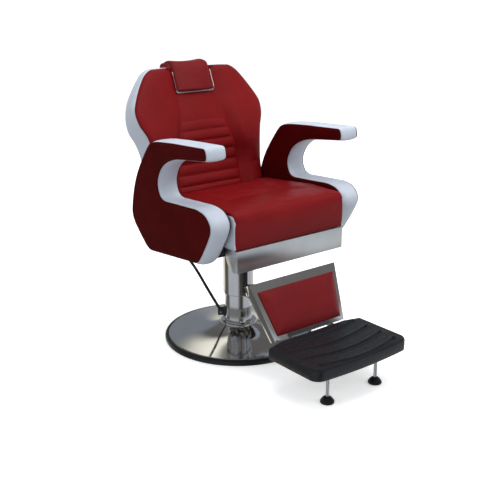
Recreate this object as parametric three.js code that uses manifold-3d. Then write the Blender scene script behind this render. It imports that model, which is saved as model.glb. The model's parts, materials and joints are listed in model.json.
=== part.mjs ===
// Hydraulic barber chair with reclining back, swinging leg rest and folding footplate.
// Millimetres, +Z up. The origin is on the floor under the pump's axis, the sitter faces -Y,
// and +X is the sitter's left.
import * as THREE from 'three';
import { mergeVertices } from 'three/addons/utils/BufferGeometryUtils.js';
import Module from 'manifold-3d';

const wasm = await Module();
wasm.setup();

// ---- Driving dimensions ----
const GAP = 0.3; // between pieces that touch
const ROUND = 36; // sides of a large turned piece
const SMALL_ROUND = 16; // sides of a rod, pin or bore
const BASE_ROUND = 48;

const BASE_RADIUS = 309;
const BASE_PLATE_TOP = 14;
const BASE_BOLT_CIRCLE = 86;
const COLLAR_TOP = 75;

const CYLINDER_RADIUS = 57;
const CYLINDER_BOTTOM = 18.3;
const CYLINDER_TOP = 392;
const RAM_RADIUS = 22;
const SLEEVE_RADIUS = 63;
const SLEEVE_BOTTOM = 196;

const LEVER_TURN = THREE.MathUtils.degToRad(141.5); // the lever stands behind the sitter's right
const LEVER_PIVOT = { out: 74, up: 108 };

const PLATE_BOTTOM = 404; // underside of the plate on the ram
const PLATE_TOP = 412;
const RAIL_TOP = 452.3;
const FRAME_TOP = 503.6;
const FRAME_HALF_WIDTH = 267.7;
const RAIL_X = 110;
const FRONT_TUBE_Y = -200;
const REAR_TUBE_Y = 30;

const APRON = { halfWidth: 263, front: -332, back: -262, bottom: 420, top: 504 };
const SEAT = { halfWidth: 266.5, front: -327, back: 155, bottom: 506, frontTop: 641, backTop: 618 };
const SEAT_SIDE_THICKNESS = 11.7;

const ARM_INNER_X = 276.5;
const ARM_WIDTH = 89;
const ARM_PANEL_THICKNESS = 6.2;
const ARM_PANEL_INSET = 5;
const ARM_WRAP = 16; // thickness of the band around the core
const ARM_BOLTS_Y = [-150, 60];
const ARM_BOLT_Z = 482;

const BACK_PIVOT = { y: 188, z: 545 };
const BACK_BOTTOM = 590;
const BACK_TOP = 1088;
const BACK_CUSHION_THICKNESS = 43;
const BACK_BOARD_THICKNESS = 10;
const SHELL_WALL = 4;
const NOTCH = { halfWidth: 93.5, bottom: 993 };
const SHELL_DROP = 42; // the casing's widest level lies this much lower behind than in front

const HEADREST_HALF_WIDTH = 90.5;
const HEADREST_LEAN = THREE.MathUtils.degToRad(12);
const HEADREST_BAR = { x: 45, y: 377, z: 1081, radius: 4 };

const LEG_TOP = { y: -341, z: 369 }; // upper front edge of the leg panel
const LEG_LEAN = THREE.MathUtils.degToRad(28.1);
const LEG_LENGTH = 224.5;
const LEG_HALF_WIDTH = { top: 214.6, bottom: 173 };
const LEG_DEPTH = 36;
const LEG_WALL = 3;
const LEG_PIVOT = { y: -324.2, z: 326 };
const CRANK_ARM = { y: 38, z: -40 }; // from each pivot to the drive link's pin
const CRANK_X = { inner: -132, outer: -124 };
const LINK_X = { inner: -146, outer: -134 };
const HANGER_X = { inner: -62, outer: -42 };

const FOOT_HINGE = { y: -455, z: 165 };
const HINGE_ROD_RADIUS = 4;
const HINGE_LUG_RADIUS = 7;
const FOOT = {
  halfWidth: 232,
  rearHalfWidth: 165,
  shoulder: 20, // from the rear edge to the full width
  corner: 35,
  front: -270,
  bow: 14,
  top: 9,
  depth: 45,
};
const FOOT_WALL = 8;
const FOOT_SKIN = 10;
const FOOT_SCREW = { x: 122, y: -669 };

const RECLINE_CYLINDER = { x: 140, y: -54, z: 397.5 };
const RECLINE_HANDLE = { y: FRONT_TUBE_Y, z: 430, x: 335, reach: 100 };

// ---- Colours and finishes ----
const RED_LEATHER = { color: 0x8c1a24, roughness: 0.42, metalness: 0 };
const DARK_RED = { color: 0x4a0a0d, roughness: 0.55, metalness: 0 };
const WHITE_LEATHER = { color: 0xcfd6e0, roughness: 0.45, metalness: 0 };
const CHROME = { color: 0xb9bec0, roughness: 0.12, metalness: 1 };
const STEEL = { color: 0x8d9093, roughness: 0.35, metalness: 1 };
const BLACK_STEEL = { color: 0x17181a, roughness: 0.45, metalness: 0.4 };
const BLACK_RUBBER = { color: 0x15171b, roughness: 0.7, metalness: 0 };
const PLYWOOD = { color: 0xb08a5a, roughness: 0.8, metalness: 0 };
const BRONZE = { color: 0x9c7a3c, roughness: 0.4, metalness: 1 };

// ---- Helpers ----
function toSolid(geometry) {
  const bare = geometry.index ? geometry.toNonIndexed() : geometry.clone();
  bare.deleteAttribute('normal');
  bare.deleteAttribute('uv');
  const merged = mergeVertices(bare, 1e-3);
  return new wasm.Manifold(
    new wasm.Mesh({
      numProp: 3,
      vertProperties: new Float32Array(merged.attributes.position.array),
      triVerts: new Uint32Array(merged.index.array),
    }),
  );
}

function toGeometry(manifold) {
  const mesh = manifold.getMesh();
  const geometry = new THREE.BufferGeometry();
  geometry.setAttribute('position', new THREE.BufferAttribute(mesh.vertProperties, 3));
  geometry.setIndex(new THREE.BufferAttribute(mesh.triVerts, 1));
  geometry.computeVertexNormals();
  return geometry;
}

function join(...geometries) {
  return toGeometry(geometries.map(toSolid).reduce((whole, piece) => whole.add(piece)));
}

function cut(body, ...tools) {
  return toGeometry(tools.map(toSolid).reduce((whole, tool) => whole.subtract(tool), toSolid(body)));
}

// An axis-aligned block between two corners.
function block(x0, x1, y0, y1, z0, z1) {
  const geometry = new THREE.BoxGeometry(x1 - x0, y1 - y0, z1 - z0);
  return geometry.translate((x0 + x1) / 2, (y0 + y1) / 2, (z0 + z1) / 2);
}

// A round bar between two points.
function bar(from, to, radius, sides = SMALL_ROUND) {
  const start = new THREE.Vector3(...from);
  const span = new THREE.Vector3(...to).sub(start);
  const geometry = new THREE.CylinderGeometry(radius, radius, span.length(), sides);
  geometry.translate(0, span.length() / 2, 0);
  const turn = new THREE.Quaternion().setFromUnitVectors(new THREE.Vector3(0, 1, 0), span.normalize());
  return geometry.applyQuaternion(turn).translate(start.x, start.y, start.z);
}

// A round bar along X.
function crossBar(x0, x1, y, z, radius, sides = SMALL_ROUND) {
  return bar([x0, y, z], [x1, y, z], radius, sides);
}

// A turned piece about the Z axis, from (radius, height) points.
function turned(profile, sides = ROUND) {
  const points = profile.map(([radius, height]) => new THREE.Vector2(radius, height));
  return new THREE.LatheGeometry(points, sides).rotateX(Math.PI / 2);
}

// A turned ring: its profile closes on itself.
function ring(profile, sides = ROUND) {
  return turned([...profile, profile[0]], sides);
}

// A shape drawn in (Y, Z), made solid from x0 to x1.
function sideExtrude(shape, x0, x1, curveSegments = 6) {
  const geometry = new THREE.ExtrudeGeometry(shape, { depth: x1 - x0, bevelEnabled: false, curveSegments });
  const axes = [new THREE.Vector3(0, 1, 0), new THREE.Vector3(0, 0, 1), new THREE.Vector3(1, 0, 0)];
  return geometry.applyMatrix4(new THREE.Matrix4().makeBasis(...axes)).translate(x0, 0, 0);
}

// A shape drawn in (X, Z), made solid from y0 to y1.
function frontExtrude(shape, y0, y1) {
  const settings = { depth: y1 - y0, bevelEnabled: false, curveSegments: 6 };
  const geometry = new THREE.ExtrudeGeometry(shape, settings);
  return geometry.rotateX(Math.PI / 2).translate(0, y1, 0);
}

// A shape drawn in (X, Y), made solid from z0 to z1.
function planExtrude(shape, z0, z1) {
  const settings = { depth: z1 - z0, bevelEnabled: false, curveSegments: 8 };
  const geometry = new THREE.ExtrudeGeometry(shape, settings);
  return geometry.translate(0, 0, z0);
}

function polygon(points) {
  return new THREE.Shape(points.map(([a, b]) => new THREE.Vector2(a, b)));
}

function circle(y, z, radius) {
  return new THREE.Shape().absarc(y, z, radius, 0, Math.PI * 2);
}

// The corners of a regular polygon that stands for a circle.
function roundOutline(centreX, centreY, radius, sides) {
  return Array.from({ length: sides }, (_, i) => {
    const angle = (2 * Math.PI * i) / sides;
    return new THREE.Vector2(centreX + radius * Math.cos(angle), centreY + radius * Math.sin(angle));
  });
}

// A flat link: two round ends and the straight web between them.
function linkPlate(x0, x1, from, to, radius) {
  const along = new THREE.Vector2(to.y - from.y, to.z - from.z).normalize();
  const side = { y: -along.y * radius, z: along.x * radius };
  const web = polygon([
    [from.y - side.y, from.z - side.z],
    [to.y - side.y, to.z - side.z],
    [to.y + side.y, to.z + side.z],
    [from.y + side.y, from.z + side.z],
  ]);
  return join(
    sideExtrude(web, x0, x1),
    sideExtrude(circle(from.y, from.z, radius), x0, x1),
    sideExtrude(circle(to.y, to.z, radius), x0, x1),
  );
}

// The points of an outline moved inwards by a distance; the outline runs anticlockwise.
function inset(points, distance) {
  const count = points.length;
  const inwards = (from, to) => {
    const along = to.clone().sub(from).normalize();
    return new THREE.Vector2(-along.y, along.x);
  };
  return points.map((point, i) => {
    const arriving = inwards(points[(i + count - 1) % count], point);
    const leaving = inwards(point, points[(i + 1) % count]);
    const mitre = distance / (1 + arriving.dot(leaving));
    return point.clone().addScaledVector(arriving.add(leaving), mitre);
  });
}

function mirrored(geometry) {
  const loose = geometry.index ? geometry.toNonIndexed() : geometry.clone();
  const flipped = loose.scale(-1, 1, 1);
  const position = flipped.attributes.position;
  const vertex = [new THREE.Vector3(), new THREE.Vector3()];
  for (let i = 0; i < position.count; i += 3) {
    vertex[0].fromBufferAttribute(position, i + 1);
    vertex[1].fromBufferAttribute(position, i + 2);
    position.setXYZ(i + 1, ...vertex[1]);
    position.setXYZ(i + 2, ...vertex[0]);
  }
  return flipped;
}

function part(parent, name, geometry, finish) {
  const mesh = new THREE.Mesh(geometry, new THREE.MeshStandardMaterial(finish));
  mesh.name = name;
  parent.add(mesh);
  return mesh;
}

function group(parent) {
  const child = new THREE.Group();
  parent.add(child);
  return child;
}

// A left piece and its mirror image on the right.
function pair(parent, name, leftGeometry, finish) {
  part(parent, `${name}_left`, leftGeometry, finish);
  part(parent, `${name}_right`, mirrored(leftGeometry), finish);
}

// ---- Base: everything that stays on the floor ----
function addBase(chair) {
  const boltAngles = [45, 135, 225, 315].map(THREE.MathUtils.degToRad);
  const boltPlaces = boltAngles.map((angle) => ({
    x: BASE_BOLT_CIRCLE * Math.cos(angle),
    y: BASE_BOLT_CIRCLE * Math.sin(angle),
  }));
  const boltRadius = 5;
  const boltBore = boltRadius + 0.4;
  const flangeTop = 24;
  const bores = boltPlaces.map(({ x, y }) => bar([x, y, 0], [x, y, flangeTop + 10], boltBore));

  const plate = new THREE.Shape(roundOutline(0, 0, BASE_RADIUS - 32, BASE_ROUND));
  plate.holes = boltPlaces.map(({ x, y }) => new THREE.Path(roundOutline(x, y, boltBore, SMALL_ROUND)));
  part(chair, 'base_plate', planExtrude(plate, 0, BASE_PLATE_TOP), STEEL);

  const rubber = ring(
    [
      [BASE_RADIUS - 29, 0],
      [BASE_RADIUS - 3, 0],
      [BASE_RADIUS, 4],
      [BASE_RADIUS, 15],
      [BASE_RADIUS - 5, 21],
      [BASE_RADIUS - 14.5, 22],
      [BASE_RADIUS - 29, 12],
    ],
    BASE_ROUND,
  );
  part(chair, 'base_rubber_ring', rubber, BLACK_RUBBER);

  const cover = ring(
    [
      [BASE_RADIUS - 15, 22.5],
      [BASE_RADIUS - 18, 26],
      [220, 36.5],
      [150, 47],
      [84, 63],
      [77.5, 68],
      [77.5, 64],
      [84, 59.5],
      [150, 43.5],
      [220, 33],
      [BASE_RADIUS - 20, 23],
    ],
    BASE_ROUND,
  );
  part(chair, 'base_cover', cover, CHROME);

  const socket = ring([
    [CYLINDER_RADIUS + GAP, BASE_PLATE_TOP + GAP],
    [104, BASE_PLATE_TOP + GAP],
    [104, flangeTop],
    [70, flangeTop],
    [70, 60],
    [76.5, 64],
    [76.5, 72],
    [73, COLLAR_TOP],
    [CYLINDER_RADIUS + GAP, COLLAR_TOP],
  ]);
  part(chair, 'pump_socket', cut(socket, ...bores), CHROME);

  const washerTop = CYLINDER_BOTTOM - GAP;
  const washer = ring([
    [20, BASE_PLATE_TOP + GAP],
    [55, BASE_PLATE_TOP + GAP],
    [55, washerTop],
    [20, washerTop],
  ]);
  part(chair, 'thrust_washer', washer, BRONZE);

  boltPlaces.forEach(({ x, y }, i) => {
    const shank = bar([0, 0, 6], [0, 0, flangeTop + 1], boltRadius);
    const head = bar([0, 0, flangeTop + GAP], [0, 0, flangeTop + 6.5], 9, 6);
    part(chair, `base_bolt_${i + 1}`, join(shank, head), STEEL).position.set(x, y, 0);
  });
}

// ---- Pump: turns on the base with the seat ----
function addPump(chair) {
  const cylinder = turned([
    [0, CYLINDER_BOTTOM],
    [CYLINDER_RADIUS, CYLINDER_BOTTOM],
    [CYLINDER_RADIUS, CYLINDER_TOP],
    [50, CYLINDER_TOP],
    [50, 30],
    [0, 30],
  ]);
  part(chair, 'pump_cylinder', cylinder, CHROME);

  const bore = RAM_RADIUS + 0.4;
  const cap = ring([[bore, 372], [49.7, 372], [49.7, 392.3], [56, 392.3], [56, 399], [bore, 399]]);
  part(chair, 'cylinder_cap', cap, STEEL);

  const side = group(chair);
  side.rotation.z = LEVER_TURN;
  const { out, up } = LEVER_PIVOT;
  const lugs = [-1, 1].map((hand) => block(58, out + 12, hand * 11 - 3, hand * 11 + 3, up - 13, up + 13));
  const saddle = cut(
    block(50, 62, -16, 16, up - 18, up + 18),
    bar([0, 0, 0], [0, 0, 200], CYLINDER_RADIUS + GAP, ROUND),
  );
  const pinBore = bar([out, -20, up], [out, 20, up], 4.4);
  part(side, 'lever_bracket', cut(join(saddle, ...lugs), pinBore), BLACK_STEEL);

  const pin = join(bar([out, -16, up], [out, 16, up], 4), bar([out, -19, up], [out, -15, up], 7));
  part(side, 'lever_pin', pin, STEEL);

  // The lever rises from the bracket and then bends outwards to the hand grip.
  const rodPath = new THREE.CatmullRomCurve3(
    [
      [out + 5, 0, up + 9],
      [130, 0, 210],
      [186, 0, 312],
      [240, -18, 375],
      [310, -46, 428],
      [378, -69, 464],
    ].map((point) => new THREE.Vector3(...point)),
  );
  const rodSection = new THREE.Shape().absarc(0, 0, 6, 0, Math.PI * 2);
  const rod = new THREE.ExtrudeGeometry(rodSection, { extrudePath: rodPath, steps: 16, curveSegments: 4 });
  const hub = bar([out, -7.5, up], [out, 7.5, up], 11);
  part(side, 'pump_lever', cut(join(rod, hub), pinBore), BLACK_STEEL);

  const gripEnd = rodPath.getPointAt(1);
  const gripAlong = rodPath.getTangentAt(1);
  const grip = turned([
    [0, 24],
    [10, 22],
    [14, 14],
    [14, -60],
    [12, -72],
    [7.6, -72],
    [7.6, 4],
    [0, 4],
  ].reverse(), SMALL_ROUND);
  const mesh = part(side, 'lever_grip', grip, BLACK_RUBBER);
  mesh.quaternion.setFromUnitVectors(new THREE.Vector3(0, 0, 1), gripAlong);
  mesh.position.copy(gripEnd);
}

// ---- Seat: rides up and down on the ram ----
function addLift(chair) {
  const ram = turned([
    [0, 40],
    [49.5, 40],
    [49.5, 68],
    [RAM_RADIUS, 68],
    [RAM_RADIUS, PLATE_BOTTOM - GAP],
    [0, PLATE_BOTTOM - GAP],
  ]);
  part(chair, 'piston_ram', ram, STEEL);

  const inner = SLEEVE_RADIUS - 3;
  const sleeveTop = PLATE_BOTTOM - GAP;
  const sleeve = ring([
    [inner, SLEEVE_BOTTOM],
    [SLEEVE_RADIUS - 1.5, SLEEVE_BOTTOM],
    [SLEEVE_RADIUS, SLEEVE_BOTTOM + 2],
    [SLEEVE_RADIUS, sleeveTop],
    [inner, sleeveTop],
  ]);
  part(chair, 'outer_sleeve', sleeve, CHROME);

  part(chair, 'mount_plate', block(-112, 112, -99, 100, PLATE_BOTTOM, PLATE_TOP), BLACK_STEEL);
}

// The welded frame under the seat: rails, cross tubes, arm plates and the back's bearing plates.
function addSeatFrame(chair) {
  const rails = [-RAIL_X, RAIL_X].map((x) => block(x - 12.5, x + 12.5, -300, 205, PLATE_TOP + GAP, RAIL_TOP));
  const tubes = [FRONT_TUBE_Y, REAR_TUBE_Y].map((y) =>
    block(-FRAME_HALF_WIDTH, FRAME_HALF_WIDTH, y - 15, y + 15, RAIL_TOP - 0.5, FRAME_TOP),
  );
  const armPlates = [-1, 1].map((hand) => {
    const x = hand * (FRAME_HALF_WIDTH + 4);
    return block(x - 4, x + 4, -215, 115, 462, 500);
  });
  const boltBores = ARM_BOLTS_Y.flatMap((y) => [
    crossBar(FRAME_HALF_WIDTH - 5, ARM_INNER_X, y, ARM_BOLT_Z, 5.5),
    crossBar(-ARM_INNER_X, 5 - FRAME_HALF_WIDTH, y, ARM_BOLT_Z, 5.5),
  ]);

  const { y: pivotY, z: pivotZ } = BACK_PIVOT;
  const bearingPlates = [-1, 1].map((hand) => {
    const x = hand * 209;
    const web = polygon([[20, 460], [150, 460], [205, 530], [205, 545], [171, 545], [160, 500], [20, 500]]);
    return join(sideExtrude(web, x - 4, x + 4), sideExtrude(circle(pivotY, pivotZ, 20), x - 4, x + 4));
  });
  const bearingBore = crossBar(-220, 220, pivotY, pivotZ, 12.4);

  const { x: cylinderX, y: cylinderY, z: cylinderZ } = RECLINE_CYLINDER;
  const cylinderLug = block(114, 122.5, cylinderY - 14, cylinderY + 14, cylinderZ - 12, 420);
  const cylinderPin = crossBar(116, cylinderX + 12, cylinderY, cylinderZ, 6);

  const { y: handleY, z: handleZ } = RECLINE_HANDLE;
  const handleLugs = [184, 249].map((x) =>
    block(x - 4, x + 4, handleY - 12, handleY + 12, handleZ - 12, RAIL_TOP + 1),
  );
  const handleBore = crossBar(170, 260, handleY, handleZ, 6.4);

  const plates = [...armPlates, ...bearingPlates];
  const welded = join(...rails, ...tubes, ...plates, cylinderLug, cylinderPin, ...handleLugs);
  part(chair, 'seat_frame', cut(welded, bearingBore, handleBore, ...boltBores), BLACK_STEEL);

  // The hanger drops in front of the pump and reaches forward to carry the leg rest's shaft.
  const { inner, outer } = HANGER_X;
  const hangerArm = polygon([
    [-114, PLATE_TOP + 8],
    [-114, 268],
    [LEG_PIVOT.y, LEG_PIVOT.z + 11],
    [LEG_PIVOT.y, LEG_PIVOT.z - 11],
    [-100, 238],
    [-100, PLATE_TOP + 8],
  ]);
  const boss = sideExtrude(circle(LEG_PIVOT.y, LEG_PIVOT.z, 16), inner, outer);
  const shaftBore = crossBar(inner - 1, outer + 1, LEG_PIVOT.y, LEG_PIVOT.z, 9.4);
  const foot = block(inner - 30, outer, -114, -60, PLATE_TOP + GAP, PLATE_TOP + 8);
  const hanger = join(sideExtrude(hangerArm, inner, outer), boss, foot);
  part(chair, 'leg_hanger', cut(hanger, shaftBore), BLACK_STEEL);
}

function addApron(chair) {
  const { halfWidth, front, back, bottom, top } = APRON;
  const profile = new THREE.Shape();
  profile.moveTo(front, bottom);
  profile.lineTo(front + 26, bottom);
  profile.quadraticCurveTo(back - 2, bottom + 18, back, top - 18);
  profile.lineTo(back, top);
  profile.lineTo(front, top);
  const wall = 3;
  const inside = halfWidth - wall;
  const hollow = block(-inside, inside, front + wall, back + 10, bottom + wall, top - wall);
  part(chair, 'front_apron', cut(sideExtrude(profile, -halfWidth, halfWidth), hollow), CHROME);
}

function addSeat(chair) {
  const { halfWidth, front, back, bottom, frontTop, backTop } = SEAT;
  const boardTop = 519;
  part(chair, 'seat_board', block(-250, 250, front + 9, 150, FRAME_TOP + 0.7, boardTop), PLYWOOD);

  const skirtBack = front + 8.4;
  const bodyHalfWidth = halfWidth - SEAT_SIDE_THICKNESS;
  const sideTop = 604;
  const top = new THREE.Shape();
  top.moveTo(front, bottom);
  top.lineTo(skirtBack, bottom);
  top.lineTo(skirtBack, sideTop);
  top.lineTo(back, sideTop);
  top.lineTo(back, backTop - 6);
  top.lineTo(back - 6, backTop);
  top.lineTo(-150, frontTop + 1);
  top.lineTo(front + 15, frontTop);
  top.quadraticCurveTo(front, frontTop, front, frontTop - 15);
  const body = block(-bodyHalfWidth, bodyHalfWidth, skirtBack - 1, back, boardTop + 0.6, sideTop + 1);
  part(chair, 'seat_cushion', join(sideExtrude(top, -halfWidth, halfWidth), body), RED_LEATHER);

  const side = block(bodyHalfWidth + GAP, halfWidth, skirtBack + GAP, 150, bottom, sideTop - GAP);
  pair(chair, 'seat_side', side, WHITE_LEATHER);
}

// The arm seen from the side: a C that is open to the front, drawn anticlockwise in (Y, Z).
function armOutline() {
  const arm = new THREE.Shape();
  const through = (points) => arm.splineThru(points.map(([y, z]) => new THREE.Vector2(y, z)));
  arm.moveTo(-296, 838);
  arm.lineTo(-207, 828);
  through([[-95, 812], [-18, 773], [17, 712], [2, 662], [-30, 650]]);
  arm.lineTo(-226, 660);
  through([[-273, 651], [-303, 629], [-315, 600], [-300, 558], [-241, 465], [-205, 452]]);
  arm.lineTo(85, 426);
  arm.lineTo(112, 436);
  through([[204, 527], [208, 600], [168, 716], [84, 834], [45, 860], [-9, 869]]);
  arm.lineTo(-97, 876);
  arm.lineTo(-286, 885);
  arm.lineTo(-294, 868);
  return arm.extractPoints(3).shape;
}

function addArms(chair) {
  const outline = armOutline();
  const outerX = ARM_INNER_X + ARM_WIDTH;
  const bandInner = ARM_INNER_X + ARM_PANEL_THICKNESS + GAP;
  const bandOuter = outerX - ARM_PANEL_THICKNESS - GAP;

  const band = new THREE.Shape(outline);
  band.holes.push(new THREE.Path(inset(outline, ARM_WRAP)));
  const core = new THREE.Shape(inset(outline, ARM_WRAP + GAP));
  const panel = new THREE.Shape(inset(outline, ARM_PANEL_INSET));
  const boltEnd = ARM_INNER_X + 52;
  const bores = ARM_BOLTS_Y.map((y) => crossBar(ARM_INNER_X - 2, boltEnd + 2, y, ARM_BOLT_Z, 5.4));

  pair(chair, 'arm_band', sideExtrude(band, bandInner, bandOuter), WHITE_LEATHER);
  pair(chair, 'arm_core', cut(sideExtrude(core, bandInner, bandOuter), ...bores), PLYWOOD);
  pair(chair, 'arm_panel_outer', sideExtrude(panel, bandOuter + GAP, outerX), DARK_RED);
  pair(chair, 'arm_panel_inner', cut(sideExtrude(panel, ARM_INNER_X, bandInner - GAP), ...bores), DARK_RED);

  ARM_BOLTS_Y.forEach((y, i) => {
    const shank = crossBar(FRAME_HALF_WIDTH - 1, boltEnd, y, ARM_BOLT_Z, 5);
    const head = crossBar(FRAME_HALF_WIDTH - 8, FRAME_HALF_WIDTH - GAP, y, ARM_BOLT_Z, 9, 6);
    const bolt = join(shank, head);
    part(chair, `arm_bolt_left_${i + 1}`, bolt, STEEL);
    part(chair, `arm_bolt_right_${i + 1}`, mirrored(bolt), STEEL);
  });
}

// ---- Recline: shaft, cranks, cylinder, drive link and release handle ----
function addRecline(chair) {
  const pivot = BACK_PIVOT;
  const pin = { y: pivot.y + CRANK_ARM.y, z: pivot.z + CRANK_ARM.z };
  const shaft = crossBar(-246, 246, pivot.y, pivot.z, 12);
  const linkCrank = linkPlate(CRANK_X.inner, CRANK_X.outer, pivot, pin, 12);
  const linkPin = crossBar(LINK_X.inner - 3, CRANK_X.outer, pin.y, pin.z, 5);
  const cylinderCrank = linkPlate(122, 130, pivot, pin, 12);
  const carrier = polygon([
    [178, 533],
    [196, 531],
    [244, 592],
    [272, 700],
    [256, 700],
    [228, 598],
    [180, 560],
  ]);
  const carriers = [
    sideExtrude(carrier, 236, 243),
    sideExtrude(circle(pivot.y, pivot.z, 18), 236, 243),
    sideExtrude(carrier, -243, -236),
    sideExtrude(circle(pivot.y, pivot.z, 18), -243, -236),
  ];
  part(chair, 'recline_shaft', join(shaft, linkCrank, linkPin, cylinderCrank, ...carriers), BLACK_STEEL);

  // The cylinder and its rod lie on one line from the frame's pin to the crank.
  const { x, y, z } = RECLINE_CYLINDER;
  const span = Math.hypot(pin.y - y, pin.z - z);
  const line = group(chair);
  line.position.set(x, y, z);
  line.rotation.x = Math.atan2(pin.z - z, pin.y - y) - Math.PI / 2;
  const eye = (height, bore, halfWidth) => {
    const outside = bar([-halfWidth, 0, height], [halfWidth, 0, height], 12);
    return [outside, bar([-halfWidth - 1, 0, height], [halfWidth + 1, 0, height], bore)];
  };
  const [frontEye, frontBore] = eye(0, 6.4, 9);
  const barrel = turned([
    [0, 9],
    [14, 9],
    [14, 200],
    [6.4, 200],
    [6.4, 190],
    [11, 190],
    [11, 30],
    [0, 30],
  ], SMALL_ROUND);
  part(line, 'recline_cylinder', cut(join(frontEye, barrel), frontBore), BLACK_STEEL);

  const [rearEye, rearBore] = eye(span, 8, 6);
  const rod = join(bar([0, 0, 130], [0, 0, 142], 10.7), bar([0, 0, 140], [0, 0, span - 10], 6), rearEye);
  part(line, 'recline_rod', cut(rod, rearBore), CHROME);

  const handle = RECLINE_HANDLE;
  const handlePath = new THREE.CatmullRomCurve3([
    new THREE.Vector3(160, handle.y, handle.z),
    new THREE.Vector3(240, handle.y, handle.z),
    new THREE.Vector3(handle.x - 15, handle.y, handle.z),
    new THREE.Vector3(handle.x, handle.y + 15, handle.z - 1),
    new THREE.Vector3(handle.x, handle.y + handle.reach, handle.z - 6),
  ], false, 'chordal');
  const section = new THREE.Shape().absarc(0, 0, 5, 0, Math.PI * 2);
  const lever = new THREE.ExtrudeGeometry(section, { extrudePath: handlePath, steps: 16, curveSegments: 4 });
  part(chair, 'recline_lever', lever, CHROME);

  const knobProfile = [[0, 34], [7, 33], [10, 28], [10, 6], [7, -2], [6.2, -2], [6.2, 12], [0, 12]].reverse();
  const knob = part(chair, 'recline_knob', turned(knobProfile, SMALL_ROUND), BLACK_RUBBER);
  knob.quaternion.setFromUnitVectors(new THREE.Vector3(0, 0, 1), handlePath.getTangentAt(1));
  knob.position.copy(handlePath.getPointAt(1)).addScaledVector(handlePath.getTangentAt(1), -11);
}

// ---- Backrest ----
function smoothLine(points) {
  const heights = points.map(([height]) => height);
  const values = points.map(([, value]) => value);
  const line = new THREE.CubicInterpolant(heights, values, 1, new Float32Array(1));
  return (height) => line.evaluate(height)[0];
}

const backHalfWidth = smoothLine([
  [585, 262],
  [700, 274],
  [760, 275],
  [812, 274],
  [858, 290],
  [905, 311],
  [942, 308],
  [995, 281],
  [1052, 241],
  [1095, 205],
]);
const backFront = smoothLine([[585, 158], [700, 193], [820, 198], [900, 230], [1000, 277], [1095, 317]]);
const backRear = smoothLine([[585, 250], [700, 290], [800, 330], [900, 352], [1095, 383]]);

// A closed skin through level rings of points, all with the same count, from the bottom up.
function loft(rings) {
  const count = rings[0].length;
  const positions = rings.flat().flatMap((point) => point.toArray());
  const index = [];
  for (let level = 0; level + 1 < rings.length; level += 1) {
    for (let i = 0; i < count; i += 1) {
      const a = level * count + i;
      const b = level * count + ((i + 1) % count);
      index.push(a, b, b + count, a, b + count, a + count);
    }
  }
  const last = (rings.length - 1) * count;
  for (let i = 1; i + 1 < count; i += 1) {
    index.push(0, i + 1, i);
    index.push(last, last + i, last + i + 1);
  }
  const geometry = new THREE.BufferGeometry();
  geometry.setAttribute('position', new THREE.Float32BufferAttribute(positions, 3));
  geometry.setIndex(index);
  return geometry;
}

function levels(bottom, top, steps) {
  return Array.from({ length: steps + 1 }, (_, i) => bottom + ((top - bottom) * i) / steps);
}

// A slab of the backrest between two depths behind its front.
function backSlab(bottom, top, near, far, margin = 0) {
  return loft(
    levels(bottom, top, 10).map((z) => {
      const width = backHalfWidth(z) - margin;
      const y = backFront(z);
      return [[-width, y + near], [width, y + near], [width, y + far], [-width, y + far]].map(
        ([px, py]) => new THREE.Vector3(px, py, z),
      );
    }),
  );
}

// The casing's outside, or with a margin its inside: square in front and rounded behind.
function backCasing(bottom, top, near, margin) {
  return loft(
    levels(bottom, top, 10).map((z) => {
      const width = backHalfWidth(z) - margin;
      const y = backFront(z) + near;
      const rear = backRear(z) - margin;
      const corner = Math.min(24, (rear - y) / 2);
      const behind = backHalfWidth(z + SHELL_DROP) - margin;
      const half = [
        [width, y],
        [behind, rear - corner],
        [behind - corner * 0.4, rear - corner * 0.3],
        [behind - corner, rear],
        [behind * 0.5, rear + 8],
      ];
      const other = half.map(([px, py]) => [-px, py]).reverse();
      return [...half, ...other].map(([px, py]) => new THREE.Vector3(px, py, z));
    }),
  );
}

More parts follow.
